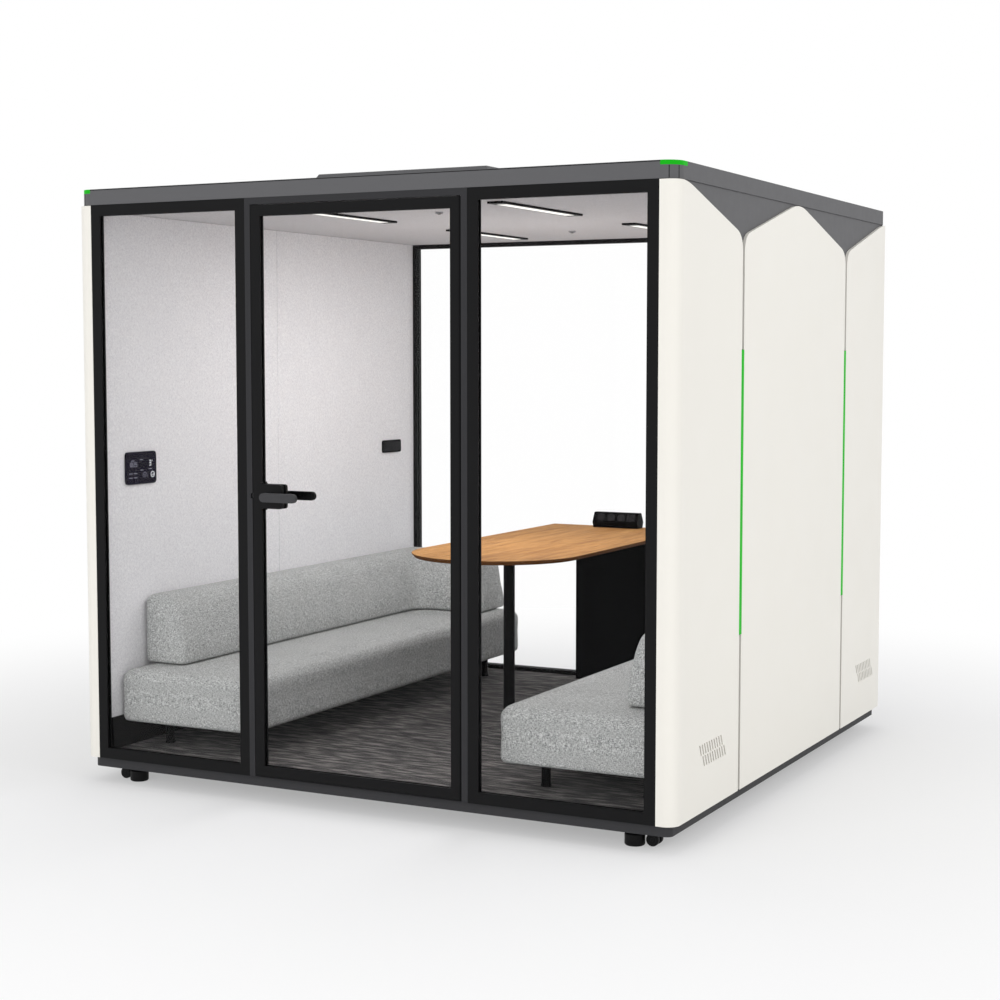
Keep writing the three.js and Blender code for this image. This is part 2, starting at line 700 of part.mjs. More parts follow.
// Glazing: a frame is a ring with a groove that holds the pane
function glazedFrame([x0, x1], [z0, z1], face, facing) {
  const front = facing * halfDepth;
  const recess = facing < 0 ? FRONT_RECESS : BACK_RECESS;
  const depth = facing < 0 ? frontDepth : backDepth;
  const span = (near, far) => (facing < 0 ? [front + near, front + far] : [front - far, front - near]);
  const opening = [[x0 + face, x1 - face], [z0 + face, z1 - face]];
  const lap = ([a, b], by) => [a - by, b + by];
  const grooveEdge = GLASS_EDGE + FIT;
  const groove = span(recess - FIT, recess + GLASS_THICK + FIT);
  const ring = box([x0, x1], span(0, depth), [z0, z1])
    .subtract(box(opening[0], span(-OVERRUN, depth + OVERRUN), opening[1]))
    .subtract(box(lap(opening[0], grooveEdge), groove, lap(opening[1], grooveEdge)));
  const pane = box(lap(opening[0], GLASS_EDGE), span(recess, recess + GLASS_THICK),
    lap(opening[1], GLASS_EDGE));
  return { ring, pane };
}

const doorwayHalf = DOORWAY_WIDTH / 2;
const portalHalf = doorwayHalf + POST_FACE;

function buildFixedWindows() {
  for (const side of [LEFT, RIGHT]) {
    const across = mirrored([portalHalf + FIT, frameSide], side);
    const { ring, pane } = glazedFrame(across, [frameBottom, frameTop], FRAME_FACE, FRONT);
    add(`window_frame_${sideName(side)}`, ring, FINISH.black);
    add(`window_glass_${sideName(side)}`, pane, FINISH.glass);
  }
  const back = glazedFrame([-frameSide, frameSide], [frameBottom, frameTop], FRAME_FACE, REAR);
  add('back_frame', back.ring, FINISH.black);
  add('back_glass', back.pane, FINISH.glass);
}

// Door leaf: it swings outwards on two pins set in its half-round right edge
const doorEdge = doorwayHalf - DOOR_GAP;
const sillTop = frameBottom + SILL_THICK;
const headBottom = roofBottom - POST_FACE;
const doorBottom = sillTop + DOOR_GAP;
const doorTop = headBottom - DOOR_GAP;
const pivotX = doorEdge - frontDepth / 2;
const pivotY = -halfDepth + frontDepth / 2;
const glassFront = -halfDepth + FRONT_RECESS;
const glassBack = glassFront + GLASS_THICK;
const caseLeft = -doorEdge + DOOR_FACE + FIT;
const boltPocketEnd = caseLeft + BOLT_INSIDE + BOLT_TRAVEL + BOLT_END_GAP;
const leverX = boltPocketEnd + SPINDLE_WALL + SPINDLE_RADIUS;
const caseRight = leverX + CASE_BEYOND_LEVER;
const caseFront = glassFront - CASE_FRONT;
const caseBack = glassBack + CASE_BACK;
const leverFront = caseFront - LEVER_STANDOFF - LEVER_THICK;

// The latch bolt grown by a gap all round, from one X to another
function boltBlock([from, to], gap) {
  const middle = (glassFront + glassBack) / 2;
  return box([from, to], [middle - BOLT_THICK / 2 - gap, middle + BOLT_THICK / 2 + gap],
    [LEVER_HEIGHT - BOLT_TALL / 2 - gap, LEVER_HEIGHT + BOLT_TALL / 2 + gap]);
}

// Portal round the door: posts, head and a thin sill, a stop behind the latch edge and the two pivot pins.
// The strike in the left post is open to the front, so that the leaf swings past it.
function buildPortal() {
  const front = -halfDepth;
  const back = front + frontDepth;
  const stopEdge = -doorwayHalf + STOP_OVERLAP;
  const strikeEdge = -doorwayHalf - BOLT_THROW - STRIKE_GAP;
  const strikeBack = (glassFront + glassBack + BOLT_THICK) / 2 + STRIKE_GAP;
  const strikeHalf = BOLT_TALL / 2 + STRIKE_GAP;
  let portal = box([-portalHalf, portalHalf], [front, back], [frameBottom, frameTop]);
  portal = portal.add(box([-portalHalf, stopEdge], [back - OVERRUN, back + STOP_THICK],
    [floorTop + FIT, ceilingBottom - FIT]));
  portal = portal.subtract(box([-doorwayHalf, doorwayHalf], [front - OVERRUN, back + FIT],
    [sillTop, headBottom]));
  portal = portal.subtract(box([strikeEdge, -doorwayHalf + OVERRUN], [front - OVERRUN, strikeBack],
    [LEVER_HEIGHT - strikeHalf, LEVER_HEIGHT + strikeHalf]));
  portal = portal.add(upright(pivotX, pivotY, PIVOT_RADIUS, frameBottom, sillTop + PIVOT_LENGTH));
  portal = portal.add(upright(pivotX, pivotY, PIVOT_RADIUS, headBottom - PIVOT_LENGTH,
    headBottom + OVERRUN));
  add('door_portal', portal, FINISH.portal);
}

function buildDoor() {
  const { ring, pane } = glazedFrame([-doorEdge, doorEdge], [doorBottom, doorTop], DOOR_FACE, FRONT);
  const below = doorBottom - OVERRUN;
  const above = doorTop + OVERRUN;
  const edgeBlock = box([pivotX, doorEdge + OVERRUN],
    [-halfDepth - OVERRUN, -halfDepth + frontDepth + OVERRUN], [below, above]);
  const edgeRound = upright(pivotX, pivotY, frontDepth / 2, below - OVERRUN, above + OVERRUN, FINE_SIDES);
  const pinHole = PIVOT_RADIUS + RUNNING_GAP;
  let leaf = ring.subtract(edgeBlock.subtract(edgeRound));
  leaf = leaf.subtract(upright(pivotX, pivotY, pinHole, below, sillTop + PIVOT_LENGTH + STEM_END_GAP));
  leaf = leaf.subtract(upright(pivotX, pivotY, pinHole, headBottom - PIVOT_LENGTH - STEM_END_GAP, above));
  leaf = leaf.subtract(boltBlock([-doorEdge - OVERRUN, caseLeft + OVERRUN], RUNNING_GAP));
  add('door_frame', leaf, FINISH.black);
  const notchHalf = CASE_HEIGHT / 2 - CASE_LAP + FIT;
  const notch = box([-doorEdge, caseRight - CASE_LAP + FIT], [glassFront - OVERRUN, glassBack + OVERRUN],
    [LEVER_HEIGHT - notchHalf, LEVER_HEIGHT + notchHalf]);
  add('door_glass', pane.subtract(notch), FINISH.glass);
}

// Lock: a plate on each side of the glass, joined through a notch in the pane
function buildLock() {
  const low = LEVER_HEIGHT - CASE_HEIGHT / 2;
  const high = LEVER_HEIGHT + CASE_HEIGHT / 2;
  const tip = caseLeft + CASE_FLARE_TIP;
  const flare = CASE_FLARE + CASE_FLARE_TIP;
  const plate = outline([
    [caseLeft, low - flare], [tip, low - flare], [tip, low, CASE_FLARE],
    [caseRight, low, PLATE_ROUND], [caseRight, high, PLATE_ROUND],
    [tip, high, CASE_FLARE], [tip, high + flare], [caseLeft, high + flare],
  ]);
  const core = box([caseLeft, caseRight - CASE_LAP], [glassFront - OVERRUN, glassBack + OVERRUN],
    [low + CASE_LAP, high - CASE_LAP]);
  const spindleHole = rod('y', [leverX, (caseFront + caseBack) / 2, LEVER_HEIGHT],
    SPINDLE_RADIUS + RUNNING_GAP, caseBack - caseFront + 2 * OVERRUN);
  const body = prismAlongY(plate, caseFront, glassFront - FIT)
    .add(core)
    .add(prismAlongY(plate, glassBack + FIT, caseBack))
    .subtract(spindleHole)
    .subtract(boltBlock([caseLeft - OVERRUN, boltPocketEnd], RUNNING_GAP));
  add('lock_case', body, FINISH.black);
  add('latch_bolt', boltBlock([-doorwayHalf - BOLT_THROW, caseLeft + BOLT_INSIDE], 0), FINISH.steel);
}

function leverArm(reach) {
  const radius = LEVER_WIDE / 2;
  const shape = new THREE.Shape();
  shape.absarc(leverX + reach - radius, LEVER_HEIGHT, radius, -Math.PI / 2, Math.PI / 2);
  shape.absarc(leverX, LEVER_HEIGHT, radius, Math.PI / 2, 1.5 * Math.PI);
  shape.closePath();
  return shape;
}

// Lever: one spindle carries the handle outside and the handle inside
function buildLever() {
  const outsideBack = leverFront + LEVER_THICK;
  const insideFront = caseBack + LEVER_STANDOFF_INSIDE;
  const length = insideFront - outsideBack + 2 * OVERRUN;
  const lever = prismAlongY(leverArm(LEVER_REACH_OUTSIDE), leverFront, outsideBack)
    .add(prismAlongY(leverArm(LEVER_REACH_INSIDE), insideFront, insideFront + LEVER_THICK))
    .add(rod('y', [leverX, (outsideBack + insideFront) / 2, LEVER_HEIGHT], SPINDLE_RADIUS, length));
  add('door_lever', lever, FINISH.lever);
}

// Benches
const benchWall = linerFace - BENCH_WALL_GAP;
const seatBottom = floorTop + SEAT_BOTTOM;
const seatTop = seatBottom + SEAT_THICK;
const benchFront = roomFront + BENCH_FRONT_GAP;
const benchBack = roomBack - BENCH_BACK_GAP;

// Closed surface through rings of equal point counts, capped at both ends
function loft(rings) {
  const count = rings[0].length;
  const positions = rings.flat().flatMap(([x, y, z]) => [x, y, z]);
  const index = [];
  for (let r = 0; r + 1 < rings.length; r += 1) {
    for (let i = 0; i < count; i += 1) {
      const a = r * count + i;
      const b = r * count + ((i + 1) % count);
      index.push(a, b, b + count, a, b + count, a + count);
    }
  }
  const flat = (ring) => ring.map(([x, y]) => new THREE.Vector2(x, y));
  const capOf = (ring) => THREE.ShapeUtils.triangulateShape(flat(ring), []);
  const last = (rings.length - 1) * count;
  capOf(rings[0]).forEach(([a, b, c]) => index.push(a, c, b));
  capOf(rings[rings.length - 1]).forEach(([a, b, c]) => index.push(last + a, last + b, last + c));
  const geometry = new THREE.BufferGeometry();
  geometry.setAttribute('position', new THREE.Float32BufferAttribute(positions, 3));
  geometry.setIndex(index);
  return geometry;
}

// Points of a quarter turn at a corner, from one edge direction to the next
function roundCorner(cx, cy, radius, from, steps) {
  const points = [];
  for (let i = 0; i <= steps; i += 1) {
    const angle = from + (i / steps) * (Math.PI / 2);
    points.push([cx + radius * Math.cos(angle), cy + radius * Math.sin(angle)]);
  }
  return points;
}

const CROWN_RINGS = [0.8, 0.55, 0.3, 0.1];
const LEAN_RINGS = [0.25, 0.4, 0.55, 0.7];

// A rounded edge seen from its start: how far it still stands in, and how far it has come, at one step
function edgeStart(step) {
  return 1 - Math.sin((step / CUSHION_STEPS) * (Math.PI / 2));
}

function edgeEnd(step) {
  return 1 - Math.cos((step / CUSHION_STEPS) * (Math.PI / 2));
}

// Seat: rounded edges all round, drawn-in sides and a crowned top
function buildSeat(side) {
  const [x0, x1] = mirrored([BENCH_FACE, benchWall], side);
  const plan = (inset) => {
    const radius = Math.max(SEAT_CORNER - inset, SEAT_LEAST_CORNER);
    const left = x0 + inset + radius;
    const right = x1 - inset - radius;
    const front = benchFront + inset + radius;
    const back = benchBack - inset - radius;
    return [
      ...roundCorner(right, back, radius, 0, CUSHION_STEPS),
      ...roundCorner(left, back, radius, Math.PI / 2, CUSHION_STEPS),
      ...roundCorner(left, front, radius, Math.PI, CUSHION_STEPS),
      ...roundCorner(right, front, radius, 1.5 * Math.PI, CUSHION_STEPS),
    ];
  };
  const ring = (inset, z) => plan(inset).map(([x, y]) => [x, y, z]);
  const rings = [];
  const edgeTop = seatTop - SEAT_CROWN;
  for (let i = 0; i <= CUSHION_STEPS; i += 1) {
    rings.push(ring(SEAT_TUCK * edgeStart(i), seatBottom + SEAT_TUCK * edgeEnd(i)));
  }
  rings.push(ring(SEAT_DRAW_IN, (seatBottom + edgeTop) / 2));
  for (let i = 0; i <= CUSHION_STEPS; i += 1) {
    rings.push(ring(SEAT_ROUND * edgeEnd(i), edgeTop - SEAT_ROUND * edgeStart(i)));
  }
  const middleX = (x0 + x1) / 2;
  const middleY = (benchFront + benchBack) / 2;
  const rim = plan(SEAT_ROUND);
  for (const scale of CROWN_RINGS) {
    const lift = SEAT_CROWN * (1 - scale * scale);
    const scaled = ([x, y]) => [middleX + (x - middleX) * scale, middleY + (y - middleY) * scale];
    rings.push(rim.map((point) => [...scaled(point), edgeTop + lift]));
  }
  add(`seat_cushion_${sideName(side)}`, loft(rings), FINISH.fabric);
}

// Backrest: leans back along the wall and turns the rear corner of the seat
function buildBackrest(side) {
  const bottom = seatTop + BACK_GAP;
  const top = bottom + BACK_HEIGHT;
  const ring = (inset, z) => {
    const share = (z - bottom) / BACK_HEIGHT;
    const lean = BACK_LEAN * share * share;
    const wall = benchWall - inset;
    const face = benchWall - BACK_DEPTH + lean + inset;
    const end = benchFront + BACK_SETBACK + inset;
    const rear = benchBack - inset;
    const inner = benchBack - RETURN_DEPTH + lean + inset;
    const tip = BENCH_FACE + RETURN_END + RETURN_END_LEAN * share + inset;
    const r = Math.max(BACK_CORNER - inset, BACK_LEAST_CORNER);
    const hollow = BACK_INNER_ROUND + inset;
    const turnPoints = roundCorner(face - hollow, inner - hollow, hollow, 0, CUSHION_STEPS);
    const points = [
      ...roundCorner(wall - r, rear - r, r, 0, CUSHION_STEPS),
      ...roundCorner(tip + r, rear - r, r, Math.PI / 2, CUSHION_STEPS),
      ...roundCorner(tip + r, inner + r, r, Math.PI, CUSHION_STEPS),
      ...turnPoints.reverse(),
      ...roundCorner(face + r, end + r, r, Math.PI, CUSHION_STEPS),
      ...roundCorner(wall - r, end + r, r, 1.5 * Math.PI, CUSHION_STEPS),
    ];
    return points.map(([x, y]) => [x, y, z]);
  };
  const rings = [];
  for (let i = 0; i <= CUSHION_STEPS; i += 1) {
    rings.push(ring(BACK_TUCK * edgeStart(i), bottom + BACK_TUCK * edgeEnd(i)));
  }
  for (const share of LEAN_RINGS) {
    rings.push(ring(0, bottom + share * BACK_HEIGHT));
  }
  for (let i = 0; i <= CUSHION_STEPS; i += 1) {
    rings.push(ring(BACK_ROUND * edgeEnd(i), top - BACK_ROUND * edgeStart(i)));
  }
  const hand = side > 0 ? rings : rings.map((points) => points.map(([x, y, z]) => [-x, y, z]).reverse());
  add(`backrest_${sideName(side)}`, loft(hand), FINISH.fabric);
}

function buildBenchBase(side) {
  const boardTop = seatBottom - FIT;
  const boardBottom = boardTop - BENCH_BOARD;
  const legBottom = floorTop + FIT;
  let base = box(mirrored([BENCH_FACE + BENCH_BOARD_INSET, benchWall - BENCH_BOARD_INSET], side),
    [benchFront + BENCH_BOARD_INSET, benchBack - BENCH_BOARD_INSET], [boardBottom, boardTop]);
  for (const x of [BENCH_FACE + LEG_FROM_FACE, benchWall - LEG_FROM_WALL]) {
    for (const y of [benchFront + LEG_FROM_END, benchBack - LEG_FROM_END]) {
      base = base.add(upright(side * x, y, LEG_RADIUS, legBottom, boardBottom + OVERRUN, THIN_SIDES));
    }
  }
  add(`bench_base_${sideName(side)}`, base, FINISH.black);
}

// Table
const tableEnd = roomBack - TABLE_BACK_GAP;
const tableRoundCentre = tableEnd - TABLE_LENGTH + TABLE_RADIUS;

// Outline of the table top at one height, drawn in from its edge by an inset
function tableLevel(inset, z) {
  const radius = TABLE_RADIUS - inset;
  const round = Array.from({ length: TABLE_ARC_STEPS + 1 }, (_, i) => {
    const angle = Math.PI * (1 + i / TABLE_ARC_STEPS);
    return [radius * Math.cos(angle), tableRoundCentre + radius * Math.sin(angle), z];
  });
  return [[-radius, tableEnd, z], ...round, [radius, tableEnd, z]];
}

function buildTable() {
  const under = tableTop - TABLE_THICK;
  const levels = [[TABLE_BEVEL, under], [0, tableTop - TABLE_LIP], [0, tableTop]];
  add('table_top', loft(levels.map(([inset, z]) => tableLevel(inset, z))), FINISH.wood);
  const ground = floorTop + FIT;
  const postY = tableRoundCentre + POST_FROM_CENTRE;
  const post = upright(0, postY, POST_RADIUS, ground, under - FIT, WIDE_SIDES);
  const flange = upright(0, postY, FLANGE_RADIUS, ground, ground + FLANGE_THICK, WIDE_SIDES);
  add('table_post', post.add(flange), FINISH.black);
  const legBack = tableEnd - PANEL_LEG_FROM_END;
  add('table_panel', box([-PANEL_LEG_WIDTH / 2, PANEL_LEG_WIDTH / 2], [legBack - PANEL_LEG_THICK, legBack],
    [ground, under - FIT]), FINISH.black);
}

// Power box on the table: six-sided in section, with its sockets on the slope towards the sitters
function buildPowerBox() {
  const foot = tableTop + FIT;
  const middle = tableEnd - POWER_FROM_END - POWER_WAIST_DEPTH / 2;
  const waist = foot + POWER_WAIST_HEIGHT;
  const top = foot + POWER_HEIGHT;
  const profile = outline([
    [middle - POWER_FOOT_DEPTH / 2, foot], [middle + POWER_FOOT_DEPTH / 2, foot],
    [middle + POWER_WAIST_DEPTH / 2, waist], [middle + POWER_TOP_DEPTH / 2, top],
    [middle - POWER_TOP_DEPTH / 2, top], [middle - POWER_WAIST_DEPTH / 2, waist],
  ]);
  add('power_box', prismAlongX(profile, -POWER_WIDTH / 2, POWER_WIDTH / 2), FINISH.black);
}

// Control panel and socket plate on the left wall
function wallPlate(name, y, z, [width, height, thick], round) {
  const low = z - height / 2;
  const high = z + height / 2;
  const shape = outline([
    [y - width / 2, low, round], [y + width / 2, low, round],
    [y + width / 2, high, round], [y - width / 2, high, round],
  ]);
  const wall = -linerFace + FIT;
  add(name, prismAlongX(shape, wall, wall + thick), FINISH.black);
}

buildBase();
for (const { end, side } of corners) {
  buildFoot(end, side);
  buildCastor(end, side);
  buildCeilingLight(end, side);
}
buildRoom();
for (const side of [LEFT, RIGHT]) {
  buildWallCore(side);
  buildWallPanels(side);
  buildBenchBase(side);
  buildSeat(side);
  buildBackrest(side);
}
buildRoof();
buildRoofUnit();
buildFixedWindows();
buildPortal();
buildDoor();
buildLock();
buildLever();
buildTable();
buildPowerBox();
wallPlate('control_panel', -halfDepth + CONTROL_FROM_FRONT, CONTROL_Z,
  [CONTROL_WIDTH, CONTROL_HEIGHT, CONTROL_THICK], CONTROL_ROUND);
wallPlate('wall_socket', halfDepth - SOCKET_FROM_BACK, SOCKET_Z,
  [SOCKET_WIDTH, SOCKET_HEIGHT, SOCKET_THICK], PLATE_ROUND);

// The handle stands out in front, so the pod is moved back to centre its whole outline on the origin
pod.position.y = -(leverFront + halfDepth) / 2;

export default pod;
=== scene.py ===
"""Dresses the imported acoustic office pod: finishes, soft seats, small fittings and a plain studio."""

from __future__ import annotations

import json
import logging
import math
from dataclasses import dataclass, field
from enum import Enum
from typing import Any, Iterable

import bmesh
import bpy
import numpy as np
from mathutils import Matrix, Vector

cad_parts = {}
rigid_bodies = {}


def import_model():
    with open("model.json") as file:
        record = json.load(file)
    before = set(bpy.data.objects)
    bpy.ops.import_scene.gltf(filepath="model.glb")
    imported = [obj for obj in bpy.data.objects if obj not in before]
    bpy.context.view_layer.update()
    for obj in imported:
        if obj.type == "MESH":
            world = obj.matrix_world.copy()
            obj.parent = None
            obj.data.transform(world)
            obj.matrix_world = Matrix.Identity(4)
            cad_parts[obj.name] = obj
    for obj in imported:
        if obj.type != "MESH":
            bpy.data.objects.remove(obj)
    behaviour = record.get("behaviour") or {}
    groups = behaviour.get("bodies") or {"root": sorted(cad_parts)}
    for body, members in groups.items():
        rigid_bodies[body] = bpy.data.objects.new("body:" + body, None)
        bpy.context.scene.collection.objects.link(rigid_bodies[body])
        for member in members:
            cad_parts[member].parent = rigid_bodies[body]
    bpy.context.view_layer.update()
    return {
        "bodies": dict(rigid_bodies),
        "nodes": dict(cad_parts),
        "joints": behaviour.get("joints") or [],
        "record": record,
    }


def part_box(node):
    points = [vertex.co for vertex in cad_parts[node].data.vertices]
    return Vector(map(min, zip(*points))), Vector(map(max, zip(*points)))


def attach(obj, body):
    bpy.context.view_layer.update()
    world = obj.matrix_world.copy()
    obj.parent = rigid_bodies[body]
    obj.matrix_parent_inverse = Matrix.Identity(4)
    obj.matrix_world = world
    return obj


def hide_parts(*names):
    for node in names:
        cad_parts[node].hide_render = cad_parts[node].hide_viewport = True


LOG = logging.getLogger("pod")
Colour = tuple[float, float, float]
Point = tuple[float, float, float]
MM = 0.001


class Side(Enum):
    """The two long walls of the cabin, with the sign of their X."""

    LEFT = -1
    RIGHT = 1

    @property
    def word(self) -> str:
        """The side's name as the nodes spell it."""
        return self.name.lower()


class End(Enum):
    """The two ends of the cabin, with the sign of their Y."""

    FRONT = -1
    REAR = 1

    @property
    def word(self) -> str:
        """The end's name as the nodes spell it."""
        return self.name.lower()


class Axis(Enum):
    """The turn that lays a bar made along Z along another axis."""

    X = ("Y", math.pi / 2)
    Y = ("X", -math.pi / 2)
    Z = ("Z", 0.0)

    def turn(self) -> Matrix:
        """The rotation that carries Z onto this axis."""
        about, angle = self.value
        return Matrix.Rotation(angle, 3, about)


def linear(colour: Colour, gain: float = 1.0) -> tuple[float, float, float, float]:
    """Turns a display colour on the 0 to 255 scale into linear RGBA.

    Args:
        colour: red, green and blue as they show on a screen.
        gain: factor on the linear value.

    Returns:
        The linear colour with an alpha of 1.
    """
    parts = [c / 255 for c in colour]
    flat = [p / 12.92 if p <= 0.04045 else ((p + 0.055) / 1.055) ** 2.4 for p in parts]
    return (min(flat[0] * gain, 1.0), min(flat[1] * gain, 1.0), min(flat[2] * gain, 1.0), 1.0)


class Graph:
    """A material being put together, with short ways to add and join its nodes."""

    def __init__(self, name: str) -> None:
        """Starts a material that has only a principled surface.

        Args:
            name: the material's name.
        """
        self.material = bpy.data.materials.new(name)
        self.material.use_nodes = True
        self.tree = self.material.node_tree
        self.tree.nodes.clear()
        self.output = self.add("ShaderNodeOutputMaterial")
        self.surface = self.add("ShaderNodeBsdfPrincipled")
        self.close(self.surface.outputs[0])
        self.coords = self.add("ShaderNodeTexCoord")

    def add(self, kind: str, inputs: dict[Any, Any] | None = None, **settings: Any) -> bpy.types.Node:
        """Adds a node.

        Args:
            kind: the node's type name.
            inputs: socket name or number to a value or to the socket that feeds it.
            settings: properties of the node.

        Returns:
            The new node.
        """
        node = self.tree.nodes.new(kind)
        for key, value in settings.items():
            setattr(node, key, value)
        for key, value in (inputs or {}).items():
            self.feed(node.inputs[key], value)
        return node

    def feed(self, socket: bpy.types.NodeSocket, value: Any) -> None:
        """Sets a socket's constant, or joins another socket to it."""
        if isinstance(value, bpy.types.NodeSocket):
            self.tree.links.new(value, socket)
        else:
            socket.default_value = value

    def close(self, shader: bpy.types.NodeSocket) -> None:
        """Makes a shader the material's surface."""
        self.tree.links.new(shader, self.output.inputs["Surface"])

    def set(self, **values: Any) -> None:
        """Feeds sockets of the principled surface, an underscore standing for a space."""
        for key, value in values.items():
            self.feed(self.surface.inputs[key.replace("_", " ")], value)

    def place(self, scale: Point = (1, 1, 1), turn: Point = (0, 0, 0)) -> bpy.types.NodeSocket:
        """Object coordinates, stretched and turned.

        Args:
            scale: factor along each axis.
            turn: rotation in radians.

        Returns:
            The vector socket.
        """
        inputs = {"Vector": self.coords.outputs["Object"], "Scale": scale, "Rotation": turn}
        return self.add("ShaderNodeMapping", inputs).outputs[0]

    def noise(self, place: Any, scale: float, detail: float = 3.0, warp: float = 0.0) -> bpy.types.NodeSocket:
        """A cloud pattern from 0 to 1.

        Args:
            place: the vector socket it lies on.
            scale: clouds in a metre.
            detail: octaves.
            warp: distortion.

        Returns:
            The value socket.
        """
        inputs = {"Vector": place, "Scale": scale, "Detail": detail, "Distortion": warp}
        return self.add("ShaderNodeTexNoise", inputs).outputs["Fac"]

    def cells(self, place: Any, scale: float) -> bpy.types.NodeSocket:
        """The distance to the nearest of scattered points, about 0 to 1.

        Args:
            place: the vector socket it lies on.
            scale: points in a metre.

        Returns:
            The value socket.
        """
        return self.add("ShaderNodeTexVoronoi", {"Vector": place, "Scale": scale}).outputs["Distance"]

    def calc(self, work: str, a: Any, b: Any = 0.0) -> bpy.types.NodeSocket:
        """One step of arithmetic on two values."""
        return self.add("ShaderNodeMath", {0: a, 1: b}, operation=work).outputs[0]

    def spread(self, value: Any, low: float, high: float, span: tuple[float, float] = (0.3, 0.7)) -> Any:
        """Carries a pattern's usual span to new limits.

        Args:
            value: the pattern.
            low: result at the start of the span.
            high: result at its end.
            span: the part of the pattern that is used.

        Returns:
            The value socket.
        """
        inputs = {"Value": value, "From Min": span[0], "From Max": span[1], "To Min": low, "To Max": high}
        return self.add("ShaderNodeMapRange", inputs).outputs[0]

    def mix(self, share: Any, a: Any, b: Any) -> bpy.types.NodeSocket:
        """Mixes two colours.

        Args:
            share: how much of b.
            a: first colour.
            b: second colour.

        Returns:
            The colour socket.
        """
        node = self.add("ShaderNodeMix", {0: share, 6: a, 7: b}, data_type="RGBA")
        return node.outputs[2]

    def ramp(self, value: Any, stops: Iterable[tuple[float, tuple]]) -> bpy.types.NodeSocket:
        """Colours along a value.

        Args:
            value: the pattern.
            stops: places from 0 to 1 with their colours.

        Returns:
            The colour socket.
        """
        node = self.add("ShaderNodeValToRGB", {"Fac": value})
        steps = list(stops)
        band = node.color_ramp.elements
        while len(band) < len(steps):
            band.new(0.5)
        for element, (where, colour) in zip(band, steps):
            element.position = where
            element.color = colour
        return node.outputs["Color"]

    def bump(self, height: Any, strength: float, depth: float) -> bpy.types.NodeSocket:
        """A normal that follows a height pattern.

        Args:
            height: the pattern.
            strength: from 0 to 1.
            depth: height of the full pattern in metres.

        Returns:
            The normal socket.
        """
        inputs = {"Height": height, "Strength": strength, "Distance": depth}
        return self.add("ShaderNodeBump", inputs).outputs[0]


@dataclass(frozen=True)
class Finish:
    """A surface finish, with the material slot of the record that it belongs to."""

    name: str
    slot: str
    colour: Colour

    def paint(self, g: Graph) -> None:
        """Builds the finish's nodes."""
        raise NotImplementedError

    def material(self) -> bpy.types.Material:
        """A new material with this finish."""
        graph = Graph(self.name)
        self.paint(graph)
        return graph.material


@dataclass(frozen=True)
class PowderCoat(Finish):
    """Baked powder paint on metal, with a fine orange peel and a slight drift of tone."""

    roughness: float = 0.42
    drift: float = 0.06
    peel: float = 620.0
    depth: float = 0.04
    shine: float = 0.12

    def paint(self, g: Graph) -> None:
        """Builds the paint's nodes."""
        spot = g.place()
        cloud = g.noise(spot, 1.7, 4.0)
        grain = g.noise(spot, self.peel, 2.0)
        rub = g.noise(spot, 26.0, 5.0)
        tone = g.mix(cloud, linear(self.colour, 1 - self.drift), linear(self.colour, 1 + self.drift))
        fleck = g.mix(g.spread(grain, 0.0, 1.0), linear(self.colour, 0.98), tone)
        g.set(
            Base_Color=fleck,
            Roughness=g.spread(rub, self.roughness - 0.02, self.roughness + 0.03),
            Normal=g.bump(grain, self.depth, 0.2 * MM),
            Specular_IOR_Level=self.shine,
        )


@dataclass(frozen=True)
class SatinLacquer(Finish):
    """Sprayed satin lacquer on a flat board, almost without texture."""

    roughness: float = 0.36

    def paint(self, g: Graph) -> None:
        """Builds the lacquer's nodes."""
        spot = g.place()
        cloud = g.noise(spot, 1.1, 3.0)
        mist = g.noise(spot, 340.0, 2.0)
        swirl = g.noise(spot, 7.0, 5.0)
        g.set(
            Base_Color=g.mix(cloud, linear(self.colour, 0.965), linear(self.colour, 1.02)),
            Roughness=g.spread(swirl, self.roughness - 0.05, self.roughness + 0.07),
            Normal=g.bump(mist, 0.08, 0.3 * MM),
            Coat_Weight=0.12,
            Coat_Roughness=0.25,
        )


@dataclass(frozen=True)
class Felt(Finish):
    """Needled acoustic felt: tangled fibres in close shades, soft to the light."""

    spread: float = 0.1
    fibre: float = 430.0

    def paint(self, g: Graph) -> None:
        """Builds the felt's nodes."""
        spot = g.place()
        tangle = g.noise(spot, self.fibre, 4.0, 1.6)
        mottle = g.noise(spot, 115.0, 4.0, 0.6)
        cloud = g.noise(spot, 9.0, 3.0)
        fibres = g.mix(g.spread(tangle, 0.0, 1.0), linear(self.colour, 1 - 1.5 * self.spread),
                       linear(self.colour, 1 + 1.2 * self.spread))
        flecked = g.mix(g.spread(mottle, 0.0, 1.0), linear(self.colour, 1 - self.spread),
                        linear(self.colour, 1 + self.spread))
        tone = g.mix(0.5, fibres, flecked)
        shade = g.mix(g.spread(cloud, 0.0, 0.12), tone, linear(self.colour, 0.8))
        height = g.calc("ADD", tangle, mottle)
        g.set(
            Base_Color=shade,
            Roughness=g.spread(mottle, 0.9, 1.0),
            Normal=g.bump(height, 0.45, 0.7 * MM),
            Sheen_Weight=0.12,
            Sheen_Roughness=0.6,
        )


